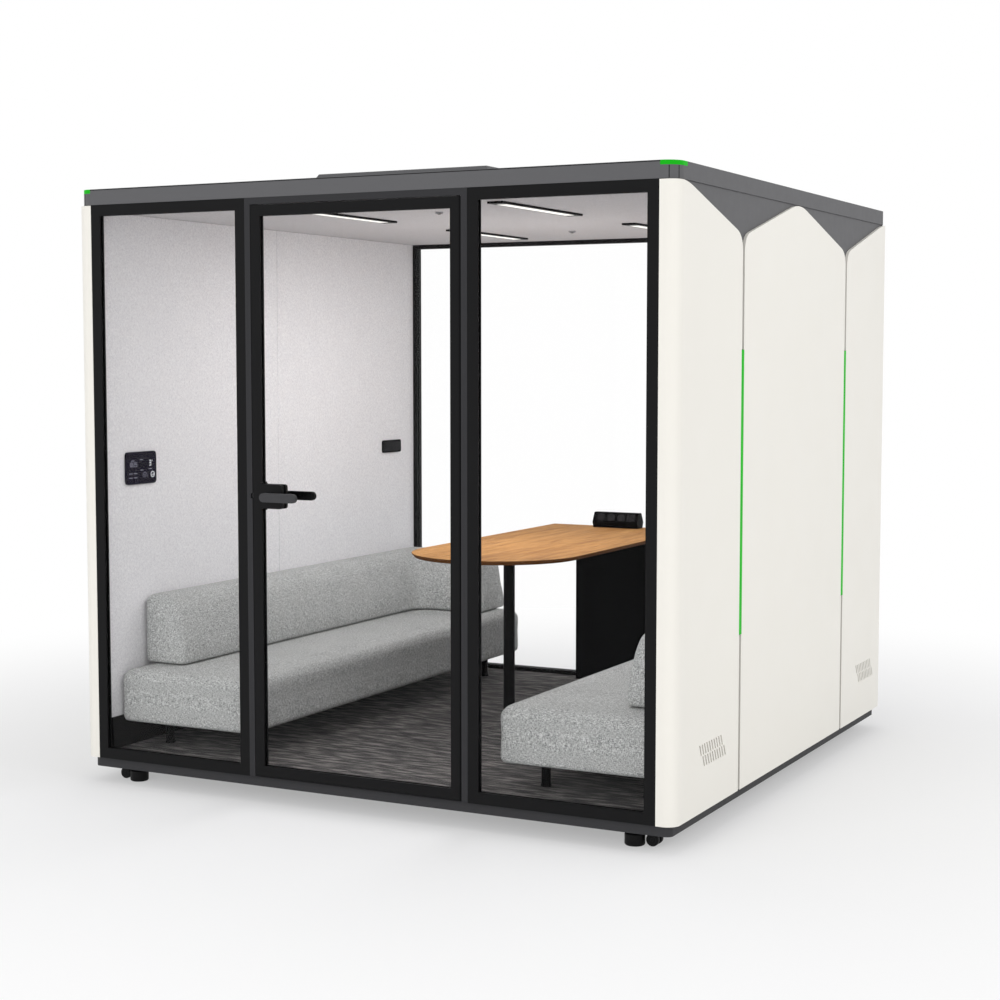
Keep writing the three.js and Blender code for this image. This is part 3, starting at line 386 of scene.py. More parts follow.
@dataclass(frozen=True)
class Carpet(Finish):
    """Low loop-pile carpet tile in space-dyed yarn, with long streaks across the room."""

    dark: Colour = (22, 20, 21)
    light: Colour = (148, 142, 139)

    def paint(self, g: Graph) -> None:
        """Builds the carpet's nodes."""
        thread = g.noise(g.place((14.0, 260.0, 260.0)), 1.0, 3.0)
        band = g.noise(g.place((9.0, 48.0, 48.0)), 1.0, 3.0)
        loops = g.cells(g.place((130.0, 260.0, 260.0)), 1.0)
        both = g.calc("ADD", g.calc("MULTIPLY", thread, 0.4), g.calc("MULTIPLY", band, 0.6))
        stops = ((0.4, linear(self.dark)), (0.5, linear(self.colour)), (0.6, linear(self.light)))
        yarn = g.ramp(both, stops)
        pile = g.mix(g.spread(loops, 0.0, 0.4, (0.2, 0.9)), yarn, linear(self.dark, 0.6))
        height = g.calc("SUBTRACT", both, g.calc("MULTIPLY", loops, 0.6))
        g.set(
            Base_Color=pile,
            Roughness=g.spread(thread, 0.92, 1.0),
            Normal=g.bump(height, 0.7, 1.6 * MM),
            Sheen_Weight=0.08,
            Sheen_Roughness=0.5,
        )


@dataclass(frozen=True)
class Tweed(Finish):
    """Wool upholstery cloth: light and dark yarns twisted together in a plain weave."""

    dark: Colour = (108, 109, 108)
    light: Colour = (236, 237, 235)
    pitch: float = 2.6 * MM

    def paint(self, g: Graph) -> None:
        """Builds the cloth's nodes."""
        spot = g.place()
        turns = 2 * math.pi / self.pitch
        waves = g.add("ShaderNodeVectorMath", {0: g.place((turns, turns, turns))}, operation="SINE").outputs[0]
        split = g.add("ShaderNodeSeparateXYZ", {0: waves}).outputs
        over = [g.calc("MULTIPLY", split[a], split[b]) for a, b in ((0, 1), (1, 2), (2, 0))]
        weave = g.calc("ADD", g.calc("ADD", over[0], over[1]), over[2])
        runs = ((105.0, 440.0, 440.0), (440.0, 105.0, 440.0), (440.0, 440.0, 105.0))
        threads = [g.noise(g.place(run), 1.0, 2.0) for run in runs]
        yarn = g.calc("DIVIDE", g.calc("ADD", g.calc("ADD", threads[0], threads[1]), threads[2]), 3.0)
        cloud = g.noise(spot, 6.0, 3.0)
        stops = ((0.41, linear(self.dark)), (0.5, linear(self.colour)), (0.59, linear(self.light)))
        mixed = g.ramp(yarn, stops)
        crossed = g.mix(g.spread(weave, 0.22, 0.0, (-0.8, 0.4)), mixed, linear(self.dark, 0.75))
        worn = g.mix(g.spread(cloud, 0.0, 0.1), crossed, linear(self.light))
        height = g.calc("ADD", weave, g.calc("MULTIPLY", yarn, 1.6))
        g.set(
            Base_Color=worn,
            Roughness=g.spread(yarn, 0.86, 0.98),
            Normal=g.bump(height, 0.5, 0.7 * MM),
            Sheen_Weight=0.06,
            Sheen_Roughness=0.45,
        )


@dataclass(frozen=True)
class Veneer(Finish):
    """Oiled oak veneer whose grain runs along the table, with painted shade that makes its edge and underside darker
    brown.
    """

    dark: Colour = (140, 94, 52)
    light: Colour = (202, 154, 100)
    # colour of the painted shade on the edge and underside
    edge: Colour = (104, 66, 36)

    def paint(self, g: Graph) -> None:
        """Builds the veneer's nodes."""
        growth = g.noise(g.place((1.0, 0.07, 1.0)), 34.0, 5.0, 0.9)
        pores = g.noise(g.place((1.0, 0.05, 1.0)), 300.0, 3.0)
        sheet = g.noise(g.place((1.0, 0.25, 1.0)), 5.0, 2.0)
        stops = ((0.3, linear(self.dark)), (0.5, linear(self.colour)), (0.72, linear(self.light)))
        figure = g.ramp(g.calc("ADD", g.calc("MULTIPLY", growth, 0.8), g.calc("MULTIPLY", sheet, 0.2)), stops)
        grain = g.mix(g.spread(pores, 0.6, 0.0, (0.32, 0.5)), figure, linear(self.dark, 0.7))
        # painted shade: faces that do not look up, the edge and the underside, are coloured darker by the way they
        # face
        upright = g.add("ShaderNodeSeparateXYZ", {0: g.coords.outputs["Normal"]}).outputs["Z"]
        side_shade = g.spread(upright, 1.0, 0.0, (0.5, 0.85))
        g.set(
            Base_Color=g.mix(side_shade, grain, g.mix(g.spread(pores, 0.4, 0.0), linear(self.edge), linear(self.dark, 0.5))),
            Roughness=g.spread(growth, 0.58, 0.72),
            Normal=g.bump(pores, 0.2, 0.3 * MM),
            Specular_IOR_Level=0.04,
        )


@dataclass(frozen=True)
class ClearGlass(Finish):
    """Laminated clear glass that lets light through and mirrors a little at a slant."""

    def paint(self, g: Graph) -> None:
        """Builds the glass's nodes."""
        haze = g.noise(g.place(), 4.0, 4.0)
        clear = g.add("ShaderNodeBsdfTransparent", {"Color": linear(self.colour)})
        mirror = g.add("ShaderNodeBsdfGlossy", {"Roughness": g.spread(haze, 0.0, 0.02)})
        slant = g.calc("MULTIPLY", g.add("ShaderNodeFresnel", {"IOR": 1.42}).outputs[0], 0.12)
        both = g.add("ShaderNodeMixShader", {0: slant, 1: clear.outputs[0], 2: mirror.outputs[0]})
        g.close(both.outputs[0])


@dataclass(frozen=True)
class Lamp(Finish):
    """A lit diffuser."""

    glow: float = 1.0

    def paint(self, g: Graph) -> None:
        """Builds the lamp's nodes."""
        prism = g.cells(g.place(), 420.0)
        g.set(
            Base_Color=g.mix(g.spread(prism, 0.0, 0.5), linear(self.colour, 0.1), linear(self.colour, 0.05)),
            Roughness=0.45,
            Specular_IOR_Level=0.05,
            Emission_Color=linear(self.colour),
            Emission_Strength=self.glow,
            Normal=g.bump(prism, 0.2, 0.3 * MM),
        )


@dataclass(frozen=True)
class Moulded(Finish):
    """Moulded plastic with a spark-eroded grain."""

    roughness: float = 0.48
    grain: float = 900.0

    def paint(self, g: Graph) -> None:
        """Builds the plastic's nodes."""
        spot = g.place()
        pits = g.cells(spot, self.grain)
        cloud = g.noise(spot, 12.0, 4.0)
        g.set(
            Base_Color=g.mix(cloud, linear(self.colour, 0.85), linear(self.colour, 1.2)),
            Roughness=g.spread(cloud, self.roughness - 0.06, self.roughness + 0.08),
            Normal=g.bump(pits, 0.06, 0.3 * MM),
            Specular_IOR_Level=0.03,
        )


@dataclass(frozen=True)
class Rubber(Finish):
    """Black rubber, polished a little where it is handled and dusty between."""

    roughness: float = 0.4

    def paint(self, g: Graph) -> None:
        """Builds the rubber's nodes."""
        spot = g.place()
        dust = g.noise(spot, 60.0, 5.0)
        grit = g.noise(spot, 1200.0, 2.0)
        g.set(
            Base_Color=g.mix(g.spread(dust, 0.0, 0.5), linear(self.colour), linear(self.colour, 2.2)),
            Roughness=g.spread(dust, self.roughness - 0.08, self.roughness + 0.2),
            Normal=g.bump(grit, 0.15, 0.3 * MM),
            Specular_IOR_Level=0.16,
        )


@dataclass(frozen=True)
class BrushedMetal(Finish):
    """Metal brushed along X."""

    metallic: float = 0.8
    roughness: float = 0.34

    def paint(self, g: Graph) -> None:
        """Builds the metal's nodes."""
        lines = g.noise(g.place((30.0, 1500.0, 1500.0)), 1.0, 3.0)
        smear = g.noise(g.place(), 30.0, 4.0)
        g.set(
            Base_Color=g.mix(lines, linear(self.colour, 0.85), linear(self.colour, 1.15)),
            Metallic=self.metallic,
            Roughness=g.spread(smear, self.roughness - 0.06, self.roughness + 0.1),
            Normal=g.bump(lines, 0.12, 0.2 * MM),
        )


@dataclass(frozen=True)
class LeverPaint(Finish):
    """Satin grey paint of the lever, with painted shade that colours the inner handle black."""

    # colour of the painted shade on the inner handle
    inner: Colour = (7, 7, 8)
    leaf: float = -1.2

    def paint(self, g: Graph) -> None:
        """Builds the paint's nodes."""
        spot = g.place()
        rub = g.noise(spot, 40.0, 5.0)
        grain = g.noise(spot, 700.0, 2.0)
        # painted shade: the part of the lever behind the leaf is coloured black and made glossier
        inner_shade = g.calc("GREATER_THAN", g.add("ShaderNodeSeparateXYZ", {0: spot}).outputs["Y"], self.leaf)
        outer = g.mix(rub, linear(self.colour, 0.9), linear(self.colour, 1.1))
        g.set(
            Base_Color=g.mix(inner_shade, outer, linear(self.inner)),
            Roughness=g.calc("SUBTRACT", g.spread(rub, 0.38, 0.55), g.calc("MULTIPLY", inner_shade, 0.2)),
            Normal=g.bump(grain, 0.05, 0.3 * MM),
            Specular_IOR_Level=0.2,
        )


@dataclass(frozen=True)
class ScreenGlass(Finish):
    """Black cover glass of a display that is faintly lit from behind."""

    def paint(self, g: Graph) -> None:
        """Builds the screen's nodes."""
        smudge = g.noise(g.place(), 24.0, 5.0, 0.8)
        g.set(
            Base_Color=g.mix(smudge, linear(self.colour, 0.8), linear(self.colour, 1.3)),
            Roughness=g.spread(smudge, 0.16, 0.3),
            Specular_IOR_Level=0.04,
        )


GRAPHITE = PowderCoat("graphite_paint", "graphite", (97, 97, 99), 0.5, shine=0.16)
PLINTH = PowderCoat("plinth_paint", "plinth", (62, 62, 64), 0.55)
FRAME_BLACK = PowderCoat("frame_paint", "frame_black", (19, 19, 20), 0.5)
PORTAL_GREY = PowderCoat("portal_paint", "portal_grey", (52, 52, 54), 0.5)
METAL_BLACK = PowderCoat("black_metal_paint", "black_metal", (5, 5, 6), 0.45, shine=0.06)
PANEL_WHITE = SatinLacquer("panel_lacquer", "white", (242, 239, 231))
GLASS = ClearGlass("clear_glass", "glazing", (255, 255, 255))
LINER_FELT = Felt("liner_felt", "felt_light", (235, 233, 238), 0.22)
CEILING_FELT = Felt("ceiling_felt", "felt_ceiling", (194, 192, 194), 0.24)
FLOOR_CARPET = Carpet("loop_carpet", "carpet", (70, 67, 66))
SEAT_TWEED = Tweed("seat_tweed", "upholstery", (185, 187, 186))
OAK = Veneer("oak_veneer", "wood", (182, 134, 83))
BLACK_PLASTIC = Moulded("black_plastic", "black_plastic", (4, 4, 5))
GREY_PLASTIC = Moulded("grey_plastic", "black_plastic", (42, 42, 44), 0.55)
SOCKET_BLACK = Moulded("socket_black", "black_plastic", (8, 8, 9), 0.35)
SCREEN = ScreenGlass("screen_glass", "screen", (14, 9, 28))
SCREEN_INK = Lamp("screen_ink", "screen", (226, 228, 234), 0.9)
SCREEN_DIM = Lamp("screen_ink_dim", "screen", (140, 138, 156), 0.8)
BLACK_RUBBER = Rubber("black_rubber", "rubber", (9, 9, 10))
GASKET = Rubber("gasket_rubber", "rubber", (22, 22, 23), 0.6)
LEVER_PAINT = LeverPaint("lever_paint", "lever_grey", (62, 62, 64))
STEEL = BrushedMetal("bright_steel", "steel", (160, 160, 162), 0.95, 0.3)
GREEN_LED = Lamp("green_led", "green_light", (26, 176, 28), 1.0)
OPAL = Lamp("opal_diffuser", "black_metal", (255, 253, 248), 1.0)


def block(bm: bmesh.types.BMesh, low: Point, high: Point, edge: float = 0.0, steps: int = 2) -> list:
    """Adds a box with rounded edges.

    Args:
        bm: the mesh under construction.
        low: lowest corner.
        high: highest corner.
        edge: radius of the edges.
        steps: segments of the rounding.

    Returns:
        The box's vertices before rounding.
    """
    size = [b - a for a, b in zip(low, high)]
    middle = [(a + b) / 2 for a, b in zip(low, high)]
    made = bmesh.ops.create_cube(bm, size=1.0)["verts"]
    bmesh.ops.scale(bm, vec=size, verts=made)
    bmesh.ops.translate(bm, vec=middle, verts=made)
    if edge > 0:
        edges = list({e for v in made for e in v.link_edges})
        bmesh.ops.bevel(bm, geom=edges, offset=edge, offset_type="OFFSET", affect="EDGES", segments=steps,
                        profile=0.5, material=-1)
    return made


def pin(bm: bmesh.types.BMesh, middle: Point, axis: Axis, radius: float, length: float, sides: int = 24,
        edge: float = 0.0) -> None:
    """Adds a round or many-sided bar with eased rims.

    Args:
        bm: the mesh under construction.
        middle: its centre.
        axis: the direction it lies along.
        radius: its radius.
        length: its length.
        sides: its facets.
        edge: radius of its rims.
    """
    made = bmesh.ops.create_cone(bm, cap_ends=True, cap_tris=False, segments=sides, radius1=radius,
                                 radius2=radius, depth=length)["verts"]
    if edge > 0:
        rims = [e for e in {e for v in made for e in v.link_edges}
                if abs(e.verts[0].co.z - e.verts[1].co.z) < length / 2]
        bevelled = bmesh.ops.bevel(bm, geom=rims, offset=edge, offset_type="OFFSET", affect="EDGES",
                                   segments=2, profile=0.5, material=-1)
        made = list({v for v in made if v.is_valid} | set(bevelled["verts"]))
    bmesh.ops.rotate(bm, matrix=axis.turn(), verts=made)
    bmesh.ops.translate(bm, vec=middle, verts=made)


def hoop(bm: bmesh.types.BMesh, middle: Point, axis: Axis, radius: float, wire: float, sides: int = 40,
         sweep: float = 2 * math.pi, start: float = 0.0) -> None:
    """Adds a round wire bent into a ring or an arc.

    Args:
        bm: the mesh under construction.
        middle: the ring's centre.
        axis: the ring's axis.
        radius: from the centre to the wire's middle.
        wire: the wire's radius.
        sides: steps round the ring.
        sweep: the angle it covers.
        start: where it begins.
    """
    made = bmesh.ops.create_circle(bm, cap_ends=sweep < 6.2, segments=8, radius=wire)["verts"]
    bmesh.ops.rotate(bm, matrix=Matrix.Rotation(math.pi / 2, 3, "X"), verts=made)
    bmesh.ops.translate(bm, vec=(radius, 0, 0), verts=made)
    bmesh.ops.rotate(bm, matrix=Matrix.Rotation(start, 3, "Z"), verts=made)
    before = set(bm.verts) - set(made)
    section = list({e for v in made for e in v.link_edges}) + list(made)
    section += list({f for v in made for f in v.link_faces})
    bmesh.ops.spin(bm, geom=section, cent=(0, 0, 0), axis=(0, 0, 1), angle=sweep, steps=sides,
                   use_merge=sweep > 6.2)
    new = [v for v in bm.verts if v not in before]
    bmesh.ops.rotate(bm, matrix=axis.turn(), verts=new)
    bmesh.ops.translate(bm, vec=middle, verts=new)


def border(bm: bmesh.types.BMesh, low: Point, high: Point, width: float, edge: float) -> None:
    """Adds a rectangular ring that stands in the XZ plane.

    Args:
        bm: the mesh under construction.
        low: lowest corner of its outside.
        high: highest corner of its outside.
        width: width of the strip.
        edge: radius of its edges.
    """
    before = set(bm.faces)
    corners = [bm.verts.new(c) for c in ((low[0], low[1], low[2]), (high[0], low[1], low[2]),
                                         (high[0], low[1], high[2]), (low[0], low[1], high[2]))]
    sheet = bm.faces.new(corners)
    bmesh.ops.inset_region(bm, faces=[sheet], thickness=width, use_boundary=True, use_even_offset=True)
    bmesh.ops.delete(bm, geom=[sheet], context="FACES")
    strip = [f for f in bm.faces if f not in before]
    raised = bmesh.ops.extrude_face_region(bm, geom=strip)["geom"]
    lifted = [v for v in raised if isinstance(v, bmesh.types.BMVert)]
    bmesh.ops.translate(bm, vec=(0, high[1] - low[1], 0), verts=lifted)
    walls = [f for f in bm.faces if f not in before]
    bmesh.ops.recalc_face_normals(bm, faces=walls)
    sharp = [e for e in {e for f in walls for e in f.edges} if len(e.link_faces) == 2
             and e.calc_face_angle(0.0) > 1.0]
    bmesh.ops.bevel(bm, geom=sharp, offset=edge, offset_type="OFFSET", affect="EDGES", segments=2,
                    profile=0.5, material=-1)


def screw(bm: bmesh.types.BMesh, middle: Point, axis: Axis, radius: float, height: float, face: int = 1) -> None:
    """Adds a low round screw head with a six-sided socket.

    Args:
        bm: the mesh under construction.
        middle: centre of the seat of the head.
        axis: the screw's axis.
        radius: the head's radius.
        height: how far the head stands up.
        face: 1 if the head looks along the axis, -1 if it looks back.
    """
    before = set(bm.verts)
    head = bmesh.ops.create_cone(bm, cap_ends=True, segments=18, radius1=radius, radius2=radius * 0.78,
                                 depth=height)["verts"]
    top = max({f for v in head for f in v.link_faces}, key=lambda f: f.calc_center_median().z)
    bmesh.ops.inset_region(bm, faces=[top], thickness=radius * 0.3, use_even_offset=True)
    bmesh.ops.inset_region(bm, faces=[top], thickness=radius * 0.04, depth=-height * 0.5, use_even_offset=True)
    new = [v for v in bm.verts if v not in before]
    bmesh.ops.translate(bm, vec=(0, 0, height / 2), verts=new)
    if face < 0:
        bmesh.ops.rotate(bm, matrix=Matrix.Rotation(math.pi, 3, "X"), verts=new)
    bmesh.ops.rotate(bm, matrix=axis.turn(), verts=new)
    bmesh.ops.translate(bm, vec=middle, verts=new)


@dataclass
class Workshop:
    """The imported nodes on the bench, and the ways to dress them and to add pieces to them."""

    nodes: dict[str, bpy.types.Object]
    middle: float
    materials: dict[Finish, bpy.types.Material] = field(default_factory=dict)
    dressed: set[str] = field(default_factory=set)

    def material(self, finish: Finish) -> bpy.types.Material:
        """The one material of a finish.

        Args:
            finish: the finish.

        Returns:
            Its material, made at its first use.
        """
        if finish not in self.materials:
            self.materials[finish] = finish.material()
        return self.materials[finish]

    def dress(self, node: str, finish: Finish, edge: float = 0.0, angle: float = 35.0) -> None:
        """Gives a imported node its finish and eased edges.

        Args:
            node: the node's name.
            finish: its finish.
            edge: radius of its sharp edges, or 0 to leave them sharp.
            angle: edges sharper than this are eased, in degrees.
        """
        thing = self.nodes[node]
        thing.material_slots[0].material = self.material(finish)
        thing.data.shade_smooth()
        weld = thing.modifiers.new("weld", "WELD")
        weld.merge_threshold = 0.02 * MM
        if edge > 0:
            ease = thing.modifiers.new("ease", "BEVEL")
            ease.width = edge
            ease.segments = 2
            ease.limit_method = "ANGLE"
            ease.angle_limit = math.radians(angle)
            ease.miter_outer = "MITER_ARC"
        else:
            split = thing.modifiers.new("split", "EDGE_SPLIT")
            split.split_angle = math.radians(angle)
        even = thing.modifiers.new("even", "WEIGHTED_NORMAL")
        even.keep_sharp = True
        even.weight = 80
        self.dressed.add(node)

    def keep(self, bm: bmesh.types.BMesh, name: str, finish: Finish, body: str = "cabin",
             smooth: float = 35.0) -> bpy.types.Object:
        """Makes a finished mesh a piece of the pod.

        Args:
            bm: the mesh, which is freed.
            name: the piece's name.
            finish: its finish.
            body: the body it moves with.
            smooth: edges flatter than this shade smoothly, in degrees.

        Returns:
            The piece.
        """
        bmesh.ops.recalc_face_normals(bm, faces=bm.faces)
        for face in bm.faces:
            face.smooth = True
        for edge in bm.edges:
            edge.smooth = edge.calc_face_angle(0.0) < math.radians(smooth)
        mesh = bpy.data.meshes.new(name)
        bm.to_mesh(mesh)
        bm.free()
        piece = bpy.data.objects.new(name, mesh)
        bpy.context.scene.collection.objects.link(piece)
        mesh.materials.append(self.material(finish))
        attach(piece, body)
        LOG.info("piece %s on %s, %d faces", name, body, len(mesh.polygons))
        return piece


@dataclass
class Studio:
    """Pale floor, white surround, soft lamps and the camera."""

    eye: Point = (3.5098, -6.898, 1.6704)
    tilt: float = 90 - 4.381
    heading: float = 27.212
    lens: float = 66.65
    shift: tuple[float, float] = (0.0012, -0.0007)
    reach: float = 60.0
    ambient: float = 0.62
    floor_tone: Colour = (234, 234, 235)
    floor_glow: float = 0.37

    def build(self) -> None:
        """Sets the whole studio up."""
        bpy.context.scene.view_settings.view_transform = "Standard"
        self.place_camera()
        self.light_world()
        self.lay_floor()
        self.hang_lamp("front_lamp", (-0.4, -7.5, 2.3), (0.0, 0.0, 1.1), 5.0, 155, 3.6)
        self.hang_lamp("side_lamp", (7.5, -1.0, 4.2), (0.8, 0.0, 1.1), 4.5, 150)
        self.hang_lamp("top_lamp", (0.0, 0.0, 7.0), (0.0, 0.0, 0.0), 5.0, 80)
        self.hang_lamp("room_lamp", (0.0, 0.0, 2.2), (0.0, 0.0, 0.0), 0.9, 14.5, 1.9)
        self.hang_globe("fill_lamp", (0.0, 0.1, 1.45), 0.45, 12.5)

    def place_camera(self) -> None:
        """Stands the camera where the photograph was taken from."""
        data = bpy.data.cameras.new("camera")
        data.sensor_width = 36.0
        data.lens = self.lens
        data.shift_x, data.shift_y = self.shift
        camera = bpy.data.objects.new("camera", data)
        camera.location = self.eye
        camera.rotation_euler = (math.radians(self.tilt), 0.0, math.radians(self.heading))
        bpy.context.scene.collection.objects.link(camera)
        bpy.context.scene.camera = camera

    def seen(self, tree: bpy.types.NodeTree) -> bpy.types.NodeSocket:
        """Tells what the eye sees, straight or by a mirror or glass, from what only lights.

        Args:
            tree: the node tree that asks.

        Returns:
            A socket that is 1 for what is seen.
        """
        path = tree.nodes.new("ShaderNodeLightPath")
        total = path.outputs["Is Camera Ray"]
        for name in ("Is Glossy Ray", "Is Transmission Ray"):
            step = tree.nodes.new("ShaderNodeMath")
            step.operation = "MAXIMUM"
            tree.links.new(total, step.inputs[0])
            tree.links.new(path.outputs[name], step.inputs[1])
            total = step.outputs[0]
        return total

    def light_world(self) -> None:
        """Makes the surround white to look at and softer as a light."""
        world = bpy.data.worlds.new("surround")
        world.use_nodes = True
        bpy.context.scene.world = world
        tree = world.node_tree
        tree.nodes.clear()
        soft = tree.nodes.new("ShaderNodeBackground")
        soft.inputs["Strength"].default_value = self.ambient
        white = tree.nodes.new("ShaderNodeBackground")
        for shader in (soft, white):
            shader.inputs["Color"].default_value = (1, 1, 1, 1)
        both = tree.nodes.new("ShaderNodeMixShader")
        tree.links.new(self.seen(tree), both.inputs[0])
        tree.links.new(soft.outputs[0], both.inputs[1])
        tree.links.new(white.outputs[0], both.inputs[2])
        out = tree.nodes.new("ShaderNodeOutputWorld")
        tree.links.new(both.outputs[0], out.inputs["Surface"])

    def lay_floor(self) -> None:
        """Lays a pale floor that runs out into the white surround all round the pod."""
        bm = bmesh.new()
        bmesh.ops.create_grid(bm, x_segments=2, y_segments=2, size=self.reach)
        mesh = bpy.data.meshes.new("floor")
        bm.to_mesh(mesh)
        bm.free()
        floor = bpy.data.objects.new("floor", mesh)
        bpy.context.scene.collection.objects.link(floor)
        g = Graph("pale_floor")
        away = g.add("ShaderNodeVectorMath", {0: g.place((1, 1, 1))}, operation="LENGTH").outputs["Value"]
        far = g.add("ShaderNodeMapRange", {"Value": away, "From Min": 1.2, "From Max": 4.6,
                                           "To Min": self.floor_glow}, interpolation_type="SMOOTHSTEP").outputs[0]
        matt = g.add("ShaderNodeBsdfDiffuse", {"Color": linear(self.floor_tone)})
        glow = g.add("ShaderNodeEmission", {"Color": (1, 1, 1, 1), "Strength": 1.0})
        share = g.calc("MULTIPLY", far, self.seen(g.tree))
        both = g.add("ShaderNodeMixShader", {0: share, 1: matt.outputs[0], 2: glow.outputs[0]})
        g.close(both.outputs[0])
        mesh.materials.append(g.material)

    def hang_lamp(self, name: str, where: Point, aim: Point, size: float, power: float,
                  length: float = 0.0) -> None:
        """Hangs a soft lamp.

        Args:
            name: the lamp's name.
            where: its place.
            aim: the point it looks at.
            size: its width.
            power: in watts.
            length: its other side, or 0 for a square.
        """
        data = bpy.data.lights.new(name, "AREA")
        data.shape = "RECTANGLE"
        data.size = size
        data.size_y = length or size
        data.energy = power
        lamp = bpy.data.objects.new(name, data)
        lamp.location = where
        lamp.rotation_euler = (Vector(aim) - Vector(where)).to_track_quat("-Z", "Y").to_euler()
        lamp.visible_camera = False
        lamp.visible_glossy = False
        bpy.context.scene.collection.objects.link(lamp)

    def hang_globe(self, name: str, where: Point, radius: float, power: float) -> None:
        """Hangs a soft round lamp that shines all round.

        Args:
            name: the lamp's name.
            where: its place.
            radius: its radius.
            power: in watts.
        """
        data = bpy.data.lights.new(name, "POINT")
        data.shadow_soft_size = radius
        data.energy = power
        lamp = bpy.data.objects.new(name, data)
        lamp.location = where
        lamp.visible_camera = False
        lamp.visible_glossy = False
        bpy.context.scene.collection.objects.link(lamp)


@dataclass
class CabinShell:
    """Plinth, white wall panels, graphite cores and roof, with the green light lines."""

    shop: Workshop
    half_width: float = 1.25
    seam: float = 0.626
    strip_low: float = 0.670
    strip_high: float = 1.699
    strip_half: float = 13.9 * MM
    strip_sink: float = 1.4 * MM
    strip_thick: float = 1.2 * MM
    roof_corner: float = 0.060
    # painted shade on the roof: where its dark strips stand on the rounded corners, their width, how far below the
    # corner lights they end and how far they stand proud
    corner_joints: tuple[float, float] = (math.radians(28), math.radians(62))
    joint: float = 3.0 * MM
    joint_drop: float = 1.7 * MM
    joint_stand: float = 0.15 * MM

    def build(self) -> None:
        """Dresses the shell, lights its seams and lays painted shade lines on the roof."""
        self.shop.dress("base_plinth", PLINTH, 1.6 * MM)
        self.shop.dress("roof_cap", GRAPHITE, 0.8 * MM)
        for side in Side:
            self.shop.dress(f"wall_core_{side.word}", GRAPHITE)
            self.shop.dress(f"corner_light_{side.word}", GREEN_LED)
            for part in ("front", "middle", "rear"):
                self.shop.dress(f"wall_panel_{side.word}_{part}", PANEL_WHITE, 1.2 * MM)
            for end in End:
                self.lay_strip(side, end)
        self.joint_roof()

    def joint_roof(self) -> None:
        """Lays painted shade on the roof: a dark strip as a painted shadow line under its front edge, and two dark
        strips in each rounded corner as painted bands of shade.
        """
        low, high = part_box("roof_cap")
        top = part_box("corner_light_left")[1].z - self.joint_drop
        half = high.x - self.roof_corner
        bm = bmesh.new()
        # painted shadow line: a dark rubber strip just under the top of the front face
        block(bm, (-half, low.y - self.joint_stand, top - self.joint), (half, low.y + MM, top))
        for side in Side:
            for end in End:
                self.joint_corner(bm, side, end)
        # the strips take the dark rubber finish, so they show as painted shade
        self.shop.keep(bm, "roof_joints", GASKET)

    def joint_corner(self, bm: bmesh.types.BMesh, side: Side, end: End) -> None:
        """Lays the two upright dark strips of painted shade on one rounded roof corner.

        Args:
            bm: the mesh under construction.
            side: the corner's side.
            end: the corner's end.
        """
        low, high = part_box("roof_cap")
        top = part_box("corner_light_left")[0 if end is End.FRONT else 1].z - self.joint_drop
        face = low.y if end is End.FRONT else high.y
        centre = Vector((side.value * (high.x - self.roof_corner), face - end.value * self.roof_corner, 0))
        for turn in self.corner_joints:
            before = set(bm.verts)
            # a dark strip of painted shade on the rounded corner
            block(bm, (self.roof_corner - MM, -self.joint / 2, low.z + MM),
                  (self.roof_corner + self.joint_stand, self.joint / 2, top))
            new = [v for v in bm.verts if v not in before]
            angle = math.atan2(end.value * math.sin(turn), side.value * math.cos(turn))
            bmesh.ops.rotate(bm, matrix=Matrix.Rotation(angle, 3, "Z"), verts=new)
            bmesh.ops.translate(bm, vec=centre, verts=new)

    def lay_strip(self, side: Side, end: End) -> None:
        """Lays the green diffuser of one seam.

        Args:
            side: the wall.
            end: the seam nearer this end.
        """
        back = self.half_width - self.strip_sink
        across = sorted((side.value * back, side.value * (back + self.strip_thick)))
        y = self.shop.middle + end.value * self.seam
        bm = bmesh.new()
        block(bm, (across[0], y - self.strip_half, self.strip_low + MM),
              (across[1], y + self.strip_half, self.strip_high - MM), 0.5 * MM)
        self.shop.keep(bm, f"light_line_{side.word}_{end.word}", GREEN_LED)


@dataclass
class RoofUnit:
    """Ventilation cover on the roof, with louvres in its long slopes and screws round its lid."""

    shop: Workshop
    half_width: float = 0.360
    half_length: float = 0.905
    slope: float = 0.030
    louvres: int = 9
    louvre_long: float = 0.145
    louvre_tall: float = 0.010

    def build(self) -> None:
        """Dresses the cover and the fan and adds louvres and screws."""
        self.shop.dress("roof_unit", GRAPHITE, 1.5 * MM)
        self.shop.dress("fan_rotor", BLACK_PLASTIC)
        self.cut_louvres()
        self.drive_screws()

    def cut_louvres(self) -> None:
        """Lays a row of dark louvres on each long slope."""
        low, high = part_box("roof_unit")
        rise = high.z - low.z
        lean = math.atan2(self.slope, rise)
        bm = bmesh.new()
        for side in Side:
            for i in range(self.louvres):
                y = self.shop.middle + (i - (self.louvres - 1) / 2) * (self.louvre_long + 0.04)
                for level in (0.36, 0.64):
                    before = set(bm.verts)
                    block(bm, (-0.6 * MM, -self.louvre_long / 2, -self.louvre_tall / 2),
                          (0.6 * MM, self.louvre_long / 2, self.louvre_tall / 2), 0.4 * MM)
                    new = [v for v in bm.verts if v not in before]
                    bmesh.ops.rotate(bm, matrix=Matrix.Rotation(-side.value * lean, 3, "Y"), verts=new)
                    x = side.value * (self.half_width + self.slope * (1 - level))
                    bmesh.ops.translate(bm, vec=(x, y, low.z + rise * level), verts=new)
        self.shop.keep(bm, "roof_louvres", SOCKET_BLACK)

    def drive_screws(self) -> None:
        """Drives screws along the lid's edge."""
        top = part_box("roof_unit")[1].z
        bm = bmesh.new()
        for side in Side:
            for i in range(7):
                y = self.shop.middle + (i - 3) * 0.285
                screw(bm, (side.value * (self.half_width - 0.03), y, top - 2.0 * MM), Axis.Z, 7 * MM, 1.8 * MM)
        self.shop.keep(bm, "roof_screws", METAL_BLACK)


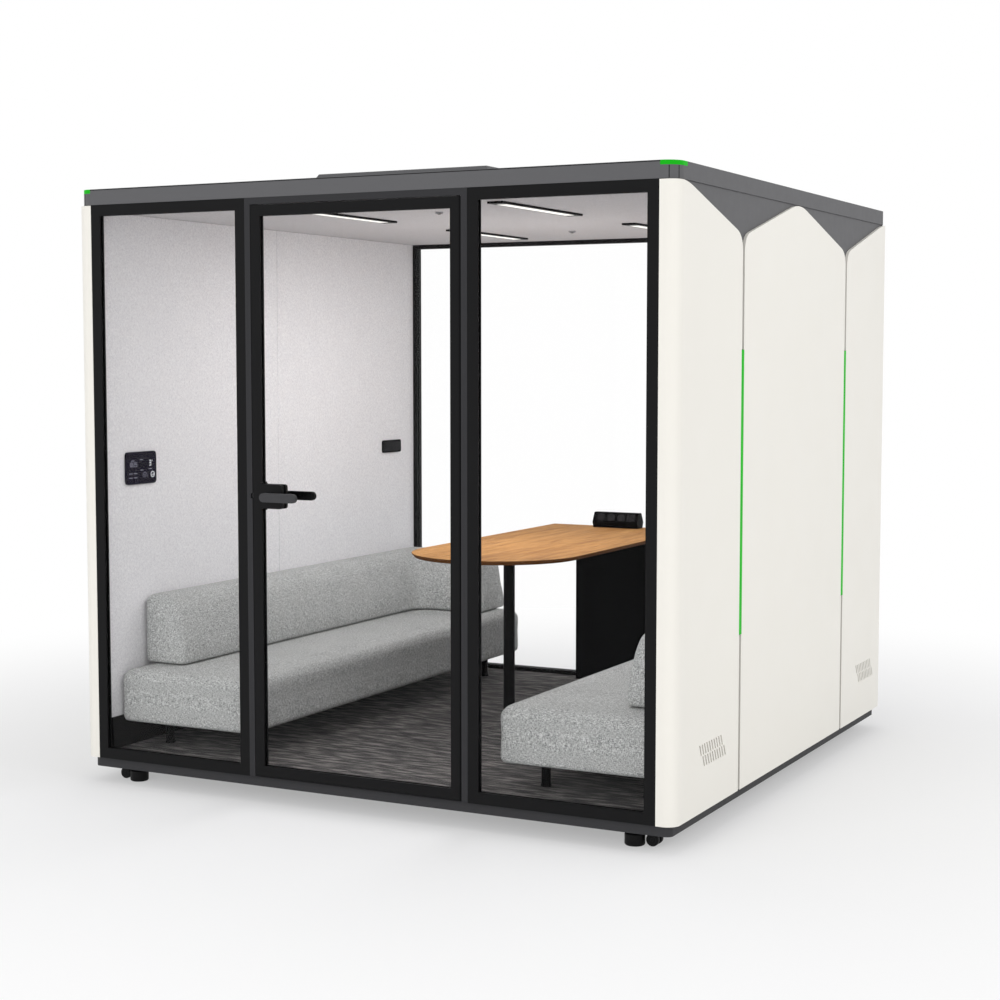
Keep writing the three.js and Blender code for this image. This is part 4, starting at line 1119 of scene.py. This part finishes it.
@dataclass
class Glazing:
    """Fixed windows, the back window and the rubber that seats their panes."""

    shop: Workshop
    face: float = 0.042
    recess: float = 0.008
    back_recess: float = 0.028
    pane: float = 0.010
    bead: float = 2.5 * MM
    stand: float = 4 * MM

    def build(self) -> None:
        """Dresses the frames and panes and seats them in rubber."""
        for side in Side:
            self.shop.dress(f"window_frame_{side.word}", FRAME_BLACK, 1.2 * MM)
            self.shop.dress(f"window_glass_{side.word}", GLASS)
            self.seat_pane(f"window_frame_{side.word}", f"window_seal_{side.word}", self.face)
        self.shop.dress("back_frame", FRAME_BLACK, 1.2 * MM)
        self.shop.dress("back_glass", GLASS)
        self.seat_pane("back_frame", "window_seal_back", self.face, False)

    def seat_pane(self, frame: str, name: str, face: float, outwards: bool = True, body: str = "cabin") -> None:
        """Lays a rubber bead round both faces of a pane.

        Args:
            frame: the frame's node.
            name: the new piece.
            face: width of the frame's face.
            outwards: True for a frame that looks to the front.
            body: the body that carries the pane.
        """
        low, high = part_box(frame)
        gap = 0.2 * MM
        outer = low.y if outwards else high.y
        sign = 1 if outwards else -1
        recess = self.recess if outwards else self.back_recess
        faces = (outer + sign * recess, outer + sign * (recess + self.pane))
        bm = bmesh.new()
        for at, way in zip(faces, (-sign, sign)):
            span = sorted((at + way * gap, at + way * self.stand))
            border(bm, (low.x + face - gap, span[0], low.z + face - gap),
                   (high.x - face + gap, span[1], high.z - face + gap), self.bead, 1.2 * MM)
        self.shop.keep(bm, name, GASKET, body)


@dataclass
class DoorSet:
    """Portal, swinging leaf, lock and lever."""

    shop: Workshop
    glazing: Glazing
    face: float = 0.040
    lever_x: float = -0.3496
    lever_z: float = 1.158

    def build(self) -> None:
        """Dresses the door and adds its small fittings."""
        self.shop.dress("door_portal", PORTAL_GREY, 1.0 * MM)
        self.shop.dress("door_frame", FRAME_BLACK, 1.2 * MM)
        self.shop.dress("door_glass", GLASS)
        self.shop.dress("lock_case", FRAME_BLACK, 2.0 * MM)
        self.shop.dress("door_lever", LEVER_PAINT, 3.0 * MM)
        self.shop.dress("latch_bolt", STEEL, 0.8 * MM)
        self.glazing.seat_pane("door_frame", "door_seal", self.face, True, "door")
        self.fit_lock()

    def fit_lock(self) -> None:
        """Adds a collar round the spindle on each face of the lock, and screws on the inner face."""
        low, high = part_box("lock_case")
        collars = bmesh.new()
        for y, way in ((low.y, -1), (high.y, 1)):
            for step, radius in ((1.2 * MM, 14 * MM), (3.2 * MM, 11.5 * MM)):
                hoop(collars, (self.lever_x, y + way * step, self.lever_z), Axis.Y, radius, 2.2 * MM)
        self.shop.keep(collars, "lever_collars", METAL_BLACK, "door")
        screws = bmesh.new()
        for dz in (-1, 1):
            screw(screws, (high.x - 16 * MM, high.y - 0.4 * MM, self.lever_z + dz * 29 * MM), Axis.Y, 4.5 * MM,
                  1.6 * MM)
        self.shop.keep(screws, "lock_screws", STEEL, "door")


@dataclass
class Room:
    """Carpet, felt liners, ceiling and its lights."""

    shop: Workshop
    bezel: float = 0.012
    cap: float = 0.055

    def build(self) -> None:
        """Dresses the room and fits its lights and sensors."""
        self.shop.dress("floor_carpet", FLOOR_CARPET)
        self.shop.dress("ceiling_panel", CEILING_FELT)
        for side in Side:
            self.shop.dress(f"skirting_{side.word}", BLACK_PLASTIC, 1.5 * MM)
            self.shop.dress(f"wall_liner_{side.word}", LINER_FELT, 1.2 * MM)
            for end in End:
                self.fit_light(side, end)
        self.fit_sensors()

    def fit_light(self, side: Side, end: End) -> None:
        """Fits one ceiling light with its opal diffuser.

        Args:
            side: the row it hangs in.
            end: the end it hangs nearer to.
        """
        name = f"{end.word}_{side.word}"
        self.shop.dress(f"ceiling_light_{name}", METAL_BLACK, 1.2 * MM)
        low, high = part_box(f"ceiling_light_{name}")
        bm = bmesh.new()
        block(bm, (low.x + self.bezel, low.y + self.cap, low.z - 0.9 * MM),
              (high.x - self.bezel, high.y - self.cap, low.z + 1.5 * MM), 0.8 * MM)
        self.shop.keep(bm, f"diffuser_{name}", OPAL)

    def fit_sensors(self) -> None:
        """Adds a rim and a lens to the two ceiling sensors."""
        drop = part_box("ceiling_panel")[0].z
        rims = bmesh.new()
        lenses = bmesh.new()
        for end in End:
            y = self.shop.middle + end.value * 0.610
            hoop(rims, (0.0, y, drop + 0.6 * MM), Axis.Z, 14 * MM, 2.4 * MM)
            made = bmesh.ops.create_uvsphere(lenses, u_segments=20, v_segments=10, radius=9 * MM)["verts"]
            bmesh.ops.scale(lenses, vec=(1, 1, 0.5), verts=made)
            bmesh.ops.translate(lenses, vec=(0, y, drop), verts=made)
        self.shop.keep(rims, "sensor_rims", STEEL)
        self.shop.keep(lenses, "sensor_lenses", SOCKET_BLACK)


@dataclass
class Cushion:
    """A block of foam in a sewn cloth cover, swollen a little by its filling."""

    shop: Workshop
    node: str
    voxel: float = 9 * MM
    shrink: float = 2 * MM
    swell: float = 5 * MM
    pull: float = 0.6 * MM
    face_reach: float = 16 * MM
    face_fill: float = 0.8
    face_turn: float = 0.8
    evening: int = 12
    pressure: float = 3.0
    fill: float = 0.85
    frames: int = 16

    def start(self) -> bpy.types.Object:
        """Makes an even net over a slightly smaller copy of the node.

        Returns:
            The net as a loose object.
        """
        bm = bmesh.new()
        bm.from_mesh(self.shop.nodes[self.node].data)
        bmesh.ops.remove_doubles(bm, verts=bm.verts, dist=0.02 * MM)
        bm.normal_update()
        for vert in bm.verts:
            vert.co -= vert.normal * self.shrink
        mesh = bpy.data.meshes.new(f"{self.node}_net")
        bm.to_mesh(mesh)
        bm.free()
        net = bpy.data.objects.new(f"{self.node}_net", mesh)
        bpy.context.scene.collection.objects.link(net)
        remesh = net.modifiers.new("net", "REMESH")
        remesh.mode = "VOXEL"
        remesh.voxel_size = self.voxel
        self.settle(net)
        bm = bmesh.new()
        bm.from_mesh(net.data)
        for _ in range(2):
            bmesh.ops.smooth_vert(bm, verts=bm.verts, factor=0.5, use_axis_x=True, use_axis_y=True,
                                  use_axis_z=True)
        bm.to_mesh(net.data)
        bm.free()
        return net

    def settle(self, thing: bpy.types.Object) -> None:
        """Makes what the modifiers show the object's own mesh."""
        graph = bpy.context.evaluated_depsgraph_get()
        shown = bpy.data.meshes.new_from_object(thing.evaluated_get(graph))
        thing.modifiers.clear()
        thing.data = shown

    def points(self, mesh: bpy.types.Mesh) -> np.ndarray:
        """The mesh's points as rows."""
        flat = np.zeros(len(mesh.vertices) * 3)
        mesh.vertices.foreach_get("co", flat)
        return flat.reshape(-1, 3)

    def inflate(self, net: bpy.types.Object) -> None:
        """Swells the cover by a short cloth simulation and holds it within its space.

        Args:
            net: the net, which is changed.
        """
        before = self.points(net.data)
        outward = np.zeros(before.size)
        net.data.vertex_normals.foreach_get("vector", outward)
        outward = outward.reshape(-1, 3)
        low, high = (np.array(c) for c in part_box(self.node))
        held = net.vertex_groups.new(name="held")
        rests = np.nonzero(before[:, 2] < low[2] + self.shrink + 3 * MM)[0]
        held.add(rests.tolist(), 1.0, "REPLACE")
        cloth = net.modifiers.new("cover", "CLOTH")
        cloth.settings.vertex_group_mass = "held"
        cloth.settings.use_pressure = True
        cloth.settings.uniform_pressure_force = self.pressure
        cloth.settings.effector_weights.gravity = 0.0
        cloth.settings.tension_stiffness = 25
        cloth.settings.compression_stiffness = 25
        cloth.settings.bending_stiffness = 4
        cloth.settings.quality = 4
        cloth.collision_settings.use_collision = False
        cloth.point_cache.frame_end = self.frames
        scene = bpy.context.scene
        for frame in range(1, self.frames + 1):
            scene.frame_set(frame)
        self.settle(net)
        scene.frame_set(1)
        rise = np.einsum("ij,ij->i", self.points(net.data) - before, outward)
        LOG.info("%s swells %.1f mm at most, %.1f mm on average", self.node, rise.max() / MM, rise.mean() / MM)
        rise = np.clip(rise, -self.pull, self.swell)
        for axis in range(3):
            for face, way in ((low[axis], -1), (high[axis], 1)):
                room = way * (face - before[:, axis])
                facing = (way * outward[:, axis] > self.face_turn) & (room < self.face_reach)
                rise = np.where(facing, np.maximum(rise, room * self.face_fill), rise)
        pairs = np.zeros(len(net.data.edges) * 2, dtype=int)
        net.data.edges.foreach_get("vertices", pairs)
        ends = np.concatenate((pairs[0::2], pairs[1::2])), np.concatenate((pairs[1::2], pairs[0::2]))
        count = np.bincount(ends[0], minlength=len(rise)) + 1
        for _ in range(self.evening):
            rise = (rise + np.bincount(ends[0], rise[ends[1]], len(rise))) / count
        after = np.clip(before + outward * rise[:, None], low, high)
        net.data.vertices.foreach_set("co", after.ravel())
        net.data.update()

    def build(self, name: str) -> bpy.types.Object:
        """Makes the cushion in place of its node.

        Args:
            name: the piece's name.

        Returns:
            The cushion.
        """
        net = self.start()
        self.inflate(net)
        bm = bmesh.new()
        bm.from_mesh(net.data)
        bpy.data.objects.remove(net)
        return self.cover(bm, name, self.node)

    def mirror(self, first: bpy.types.Object, name: str, node: str) -> bpy.types.Object:
        """Makes the same cushion for the other bench.

        Args:
            first: the cushion to follow.
            name: the new piece's name.
            node: the node it stands for.

        Returns:
            The mirrored cushion.
        """
        bm = bmesh.new()
        bm.from_mesh(first.data)
        bmesh.ops.scale(bm, vec=(-1, 1, 1), verts=bm.verts)
        bmesh.ops.reverse_faces(bm, faces=bm.faces)
        return self.cover(bm, name, node)

    def cover(self, bm: bmesh.types.BMesh, name: str, node: str) -> bpy.types.Object:
        """Args:
            bm: the cushion's mesh, which is freed.
            name: the piece's name.
            node: the node it stands for.

        Returns:
            The cushion.
        """
        piece = self.shop.keep(bm, name, SEAT_TWEED, "cabin", 180.0)
        fine = piece.modifiers.new("fine", "SUBSURF")
        fine.levels = 1
        fine.render_levels = 1
        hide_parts(node)
        self.shop.dressed.add(node)
        return piece


@dataclass
class Benches:
    """Both benches: seats, backrests, bases and the glides under their legs."""

    shop: Workshop
    leg_radius: float = 17 * MM

    def build(self) -> None:
        """Makes the cushions once and repeats them on the other side."""
        left, right = Side.LEFT.word, Side.RIGHT.word
        seat = Cushion(self.shop, f"seat_cushion_{left}")
        seat.mirror(seat.build(f"seat_{left}"), f"seat_{right}", f"seat_cushion_{right}")
        back = Cushion(self.shop, f"backrest_{left}")
        back.mirror(back.build(f"back_cushion_{left}"), f"back_cushion_{right}", f"backrest_{right}")
        for side in Side:
            self.shop.dress(f"bench_base_{side.word}", METAL_BLACK, 1.0 * MM)
            self.fit_glides(side)

    def fit_glides(self, side: Side) -> None:
        """Puts a collar round the foot of each leg.

        Args:
            side: the bench.
        """
        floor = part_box("floor_carpet")[1].z
        bm = bmesh.new()
        for x in (0.641, 1.041):
            for y in (-0.977, 0.987):
                pin(bm, (side.value * x, self.shop.middle + y, floor + 4.5 * MM), Axis.Z,
                    self.leg_radius + 2.5 * MM, 8 * MM, 28, 1.5 * MM)
        self.shop.keep(bm, f"leg_glides_{side.word}", BLACK_PLASTIC)


@dataclass
class Table:
    """Oak table on a post and a panel, with a power box at the back window."""

    shop: Workshop
    post_y: float = -0.009
    flange: float = 0.060
    power_half: float = 0.115
    power_y: float = 1.1336
    waist_rise: float = 0.027
    waist_half: float = 0.041
    top_half: float = 0.016
    power_rise: float = 0.072

    def build(self) -> None:
        """Dresses the table and adds bolts and sockets."""
        self.shop.dress("table_top", OAK, 1.6 * MM)
        self.shop.dress("table_post", METAL_BLACK, 1.0 * MM)
        self.shop.dress("table_panel", BLACK_PLASTIC, 1.2 * MM)
        self.shop.dress("power_box", BLACK_PLASTIC, 2.0 * MM, 25.0)
        self.bolt_flange()
        self.fit_sockets()

    def bolt_flange(self) -> None:
        """Bolts the post's flange to the floor."""
        low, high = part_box("table_post")
        centre = (low + high) / 2
        bm = bmesh.new()
        for i in range(4):
            angle = math.radians(45 + 90 * i)
            screw(bm, (centre.x + 0.030 * math.cos(angle), centre.y + 0.030 * math.sin(angle), low.z + 5.8 * MM),
                  Axis.Z, 4 * MM, 2 * MM)
        self.shop.keep(bm, "flange_bolts", METAL_BLACK)

    def slope_matrix(self) -> Matrix:
        """The place and turn of the box's sitter-side slope, with its face along local Y.

        Returns:
            The matrix that carries a piece made round the origin onto the slope.
        """
        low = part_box("power_box")[0]
        front = Vector((0, self.shop.middle + self.power_y - self.waist_half, low.z + self.waist_rise))
        top = Vector((0, self.shop.middle + self.power_y - self.top_half, low.z + self.power_rise))
        up = (top - front).normalized()
        out = up.cross(Vector((-1, 0, 0)))
        turn = Matrix(((1, 0, 0), (0, -out.y, up.y), (0, -out.z, up.z)))
        return Matrix.Translation((front + top) / 2) @ turn.to_4x4()

    def fit_sockets(self) -> None:
        """Fits round sockets, charging ports and a switch to the slope."""
        plates = bmesh.new()
        holes = bmesh.new()
        for i in range(3):
            x = -0.075 + i * 0.052
            pin(plates, (x, -0.2 * MM, 0), Axis.Y, 20 * MM, 1.6 * MM, 36, 0.6 * MM)
            hoop(plates, (x, -1.0 * MM, 0), Axis.Y, 18.5 * MM, 1.3 * MM)
            for dx in (-1, 1):
                pin(holes, (x + dx * 8 * MM, -1.1 * MM, 0), Axis.Y, 2.6 * MM, 0.6 * MM, 16)
            block(holes, (x - 1.6 * MM, -1.4 * MM, 9 * MM), (x + 1.6 * MM, -0.8 * MM, 14 * MM), 0.2 * MM)
        block(plates, (0.058, -1.4 * MM, -17 * MM), (0.100, 0.4 * MM, 17 * MM), 1.0 * MM)
        for z in (-7 * MM, 7 * MM):
            block(holes, (0.066, -2.0 * MM, z - 2.6 * MM), (0.080, -1.2 * MM, z + 2.6 * MM), 0.3 * MM)
        pin(holes, (0.090, -1.6 * MM, 0), Axis.Y, 4.5 * MM, 0.9 * MM, 24, 0.3 * MM)
        place = self.slope_matrix()
        for bm, name, finish in ((plates, "power_sockets", GREY_PLASTIC), (holes, "power_contacts", SOCKET_BLACK)):
            bmesh.ops.transform(bm, matrix=place, verts=bm.verts)
            self.shop.keep(bm, name, finish)


@dataclass
class WallControls:
    """Control display and socket plate on the left wall."""

    shop: Workshop
    bars: dict[str, str] = field(default_factory=lambda: {
        "0": "tulkrb", "1": "ur", "2": "tumlb", "3": "tumrb", "4": "kmur", "5": "tkmrb"})

    def build(self) -> None:
        """Dresses both plates and draws the display."""
        self.shop.dress("control_panel", SCREEN, 1.5 * MM)
        self.shop.dress("wall_socket", BLACK_PLASTIC, 1.5 * MM)
        self.draw_display()
        self.fit_sockets()

    def bar(self, bm: bmesh.types.BMesh, x: float, y: tuple[float, float], z: tuple[float, float]) -> None:
        """Lays a thin printed bar on a wall plate.

        Args:
            bm: the mesh under construction.
            x: the plate's face.
            y: its two ends along the wall.
            z: its two ends upwards.
        """
        block(bm, (x - 0.1 * MM, min(y), min(z)), (x + 0.25 * MM, max(y), max(z)))

    def numeral(self, bm: bmesh.types.BMesh, digit: str, x: float, y: float, z: float, tall: float) -> None:
        """Draws a plain bar numeral, read from inside the room.

        Args:
            bm: the mesh under construction.
            digit: which numeral.
            x: the plate's face.
            y: its left edge.
            z: its lower edge.
            tall: its height.
        """
        wide, thick = tall * 0.52, tall * 0.13
        half = tall / 2
        strokes = {
            "t": ((y, y + wide), (z + tall - thick, z + tall)),
            "m": ((y, y + wide), (z + half - thick / 2, z + half + thick / 2)),
            "b": ((y, y + wide), (z, z + thick)),
            "k": ((y, y + thick), (z + half, z + tall)),
            "l": ((y, y + thick), (z, z + half)),
            "u": ((y + wide - thick, y + wide), (z + half, z + tall)),
            "r": ((y + wide - thick, y + wide), (z, z + half)),
        }
        for stroke in self.bars[digit]:
            self.bar(bm, x, *strokes[stroke])

    def draw_display(self) -> None:
        """Draws a clock, a level number, dim labels and two dials."""
        low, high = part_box("control_panel")
        x, y, z = high.x, (low.y + high.y) / 2, (low.z + high.z) / 2
        ink = bmesh.new()
        dim = bmesh.new()
        for i, digit in enumerate("1025"):
            start = y - 0.078 + i * 0.0125 + (0.004 if i > 1 else 0.0)
            self.numeral(dim, digit, x, start, z + 0.005, 0.018)
        for dz in (0.009, 0.016):
            self.bar(dim, x, (y - 0.0535, y - 0.0515), (z + dz, z + dz + 0.002))
        self.numeral(ink, "3", x, y + 0.050, z + 0.006, 0.023)
        hoop(ink, (x, y + 0.069, z + 0.026), Axis.X, 2.2 * MM, 0.5 * MM, 20)
        for row in range(2):
            for column in range(2):
                at = y - 0.078 + column * 0.029
                self.bar(dim, x, (at, at + 0.021), (z - 0.023 - row * 0.017, z - 0.020 - row * 0.017))
        for across, up, long in ((-0.064, 0.028, 0.020), (-0.010, 0.031, 0.020), (-0.006, -0.011, 0.018),
                                 (0.046, -0.008, 0.020)):
            self.bar(dim, x, (y + across, y + across + long), (z + up, z + up + 0.003))
        hoop(dim, (x, y + 0.022, z - 0.032), Axis.X, 13 * MM, 0.9 * MM, 28, math.radians(240), math.radians(60))
        self.bar(dim, x, (y + 0.0205, y + 0.0235), (z - 0.040, z - 0.026))
        hoop(ink, (x, y + 0.071, z - 0.029), Axis.X, 11 * MM, 1.4 * MM, 28)
        for step in (-1, 0, 1):
            at = y + 0.071 + step * 5 * MM
            self.bar(ink, x, (at - 1.2 * MM, at + 1.2 * MM), (z - 0.034, z - 0.028 + step * 2 * MM))
        self.shop.keep(ink, "display_marks", SCREEN_INK)
        self.shop.keep(dim, "display_labels", SCREEN_DIM)

    def fit_sockets(self) -> None:
        """Fits an inlay with two sockets and a port to the wall plate."""
        low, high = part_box("wall_socket")
        x, y, z = high.x, (low.y + high.y) / 2, (low.z + high.z) / 2
        inlay = bmesh.new()
        block(inlay, (x - 0.5 * MM, low.y + 0.012, low.z + 0.008), (x + 1.0 * MM, high.y - 0.012, high.z - 0.008),
              0.8 * MM)
        holes = bmesh.new()
        for at in (-0.045, 0.008):
            hoop(holes, (x + 1.0 * MM, y + at, z), Axis.X, 19 * MM, 0.7 * MM)
            for dy in (-1, 1):
                pin(holes, (x + 1.0 * MM, y + at + dy * 8 * MM, z), Axis.X, 2.5 * MM, 0.7 * MM, 16)
        for dz in (-1, 1):
            block(holes, (x + 0.6 * MM, y + 0.045, z + dz * 9 * MM - 2.5 * MM),
                  (x + 1.4 * MM, y + 0.059, z + dz * 9 * MM + 2.5 * MM), 0.3 * MM)
        self.shop.keep(inlay, "socket_inlay", GREY_PLASTIC)
        self.shop.keep(holes, "socket_contacts", SOCKET_BLACK)


@dataclass
class Undercarriage:
    """Levelling feet and castors under the plinth."""

    shop: Workshop
    nut: float = 19 * MM

    def build(self) -> None:
        """Dresses the feet and castors and adds their nuts and hub caps."""
        for end in End:
            for side in Side:
                corner = f"{end.word}_{side.word}"
                self.shop.dress(f"levelling_foot_{corner}", BLACK_RUBBER)
                self.shop.dress(f"castor_fork_{corner}", BLACK_PLASTIC, 0.8 * MM)
                self.shop.dress(f"castor_wheel_{corner}", BLACK_RUBBER, 3.0 * MM)
                self.fit_nut(corner)
                self.fit_caps(corner)

    def fit_nut(self, corner: str) -> None:
        """Adds the lock nut on a foot's stem.

        Args:
            corner: the corner's name.
        """
        low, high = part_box(f"levelling_foot_{corner}")
        centre = (low + high) / 2
        bm = bmesh.new()
        pin(bm, (centre.x, centre.y, 50.5 * MM), Axis.Z, self.nut, 8 * MM, 6, 0.8 * MM)
        self.shop.keep(bm, f"foot_nut_{corner}", STEEL, f"foot_{corner}")

    def fit_caps(self, corner: str) -> None:
        """Adds a ridge round each side of a castor wheel.

        Args:
            corner: the corner's name.
        """
        low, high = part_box(f"castor_wheel_{corner}")
        centre = (low + high) / 2
        bm = bmesh.new()
        for y in (low.y, high.y):
            hoop(bm, (centre.x, y, centre.z), Axis.Y, 14 * MM, 0.9 * MM)
            hoop(bm, (centre.x, y, centre.z), Axis.Y, 5 * MM, 1.2 * MM)
        self.shop.keep(bm, f"wheel_ridges_{corner}", GREY_PLASTIC, f"wheel_{corner}")


def main() -> None:
    """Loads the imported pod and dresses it."""
    logging.basicConfig(level=logging.INFO, format="%(name)s: %(message)s")
    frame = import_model()
    low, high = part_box("base_plinth")
    shop = Workshop(frame["nodes"], (low.y + high.y) / 2)
    Studio().build()
    glazing = Glazing(shop)
    CabinShell(shop).build()
    RoofUnit(shop).build()
    glazing.build()
    DoorSet(shop, glazing).build()
    Room(shop).build()
    Benches(shop).build()
    Table(shop).build()
    WallControls(shop).build()
    Undercarriage(shop).build()
    bare = sorted(set(frame["nodes"]) - shop.dressed)
    LOG.info("nodes left bare: %s", bare)


if __name__ == "__main__":
    main()
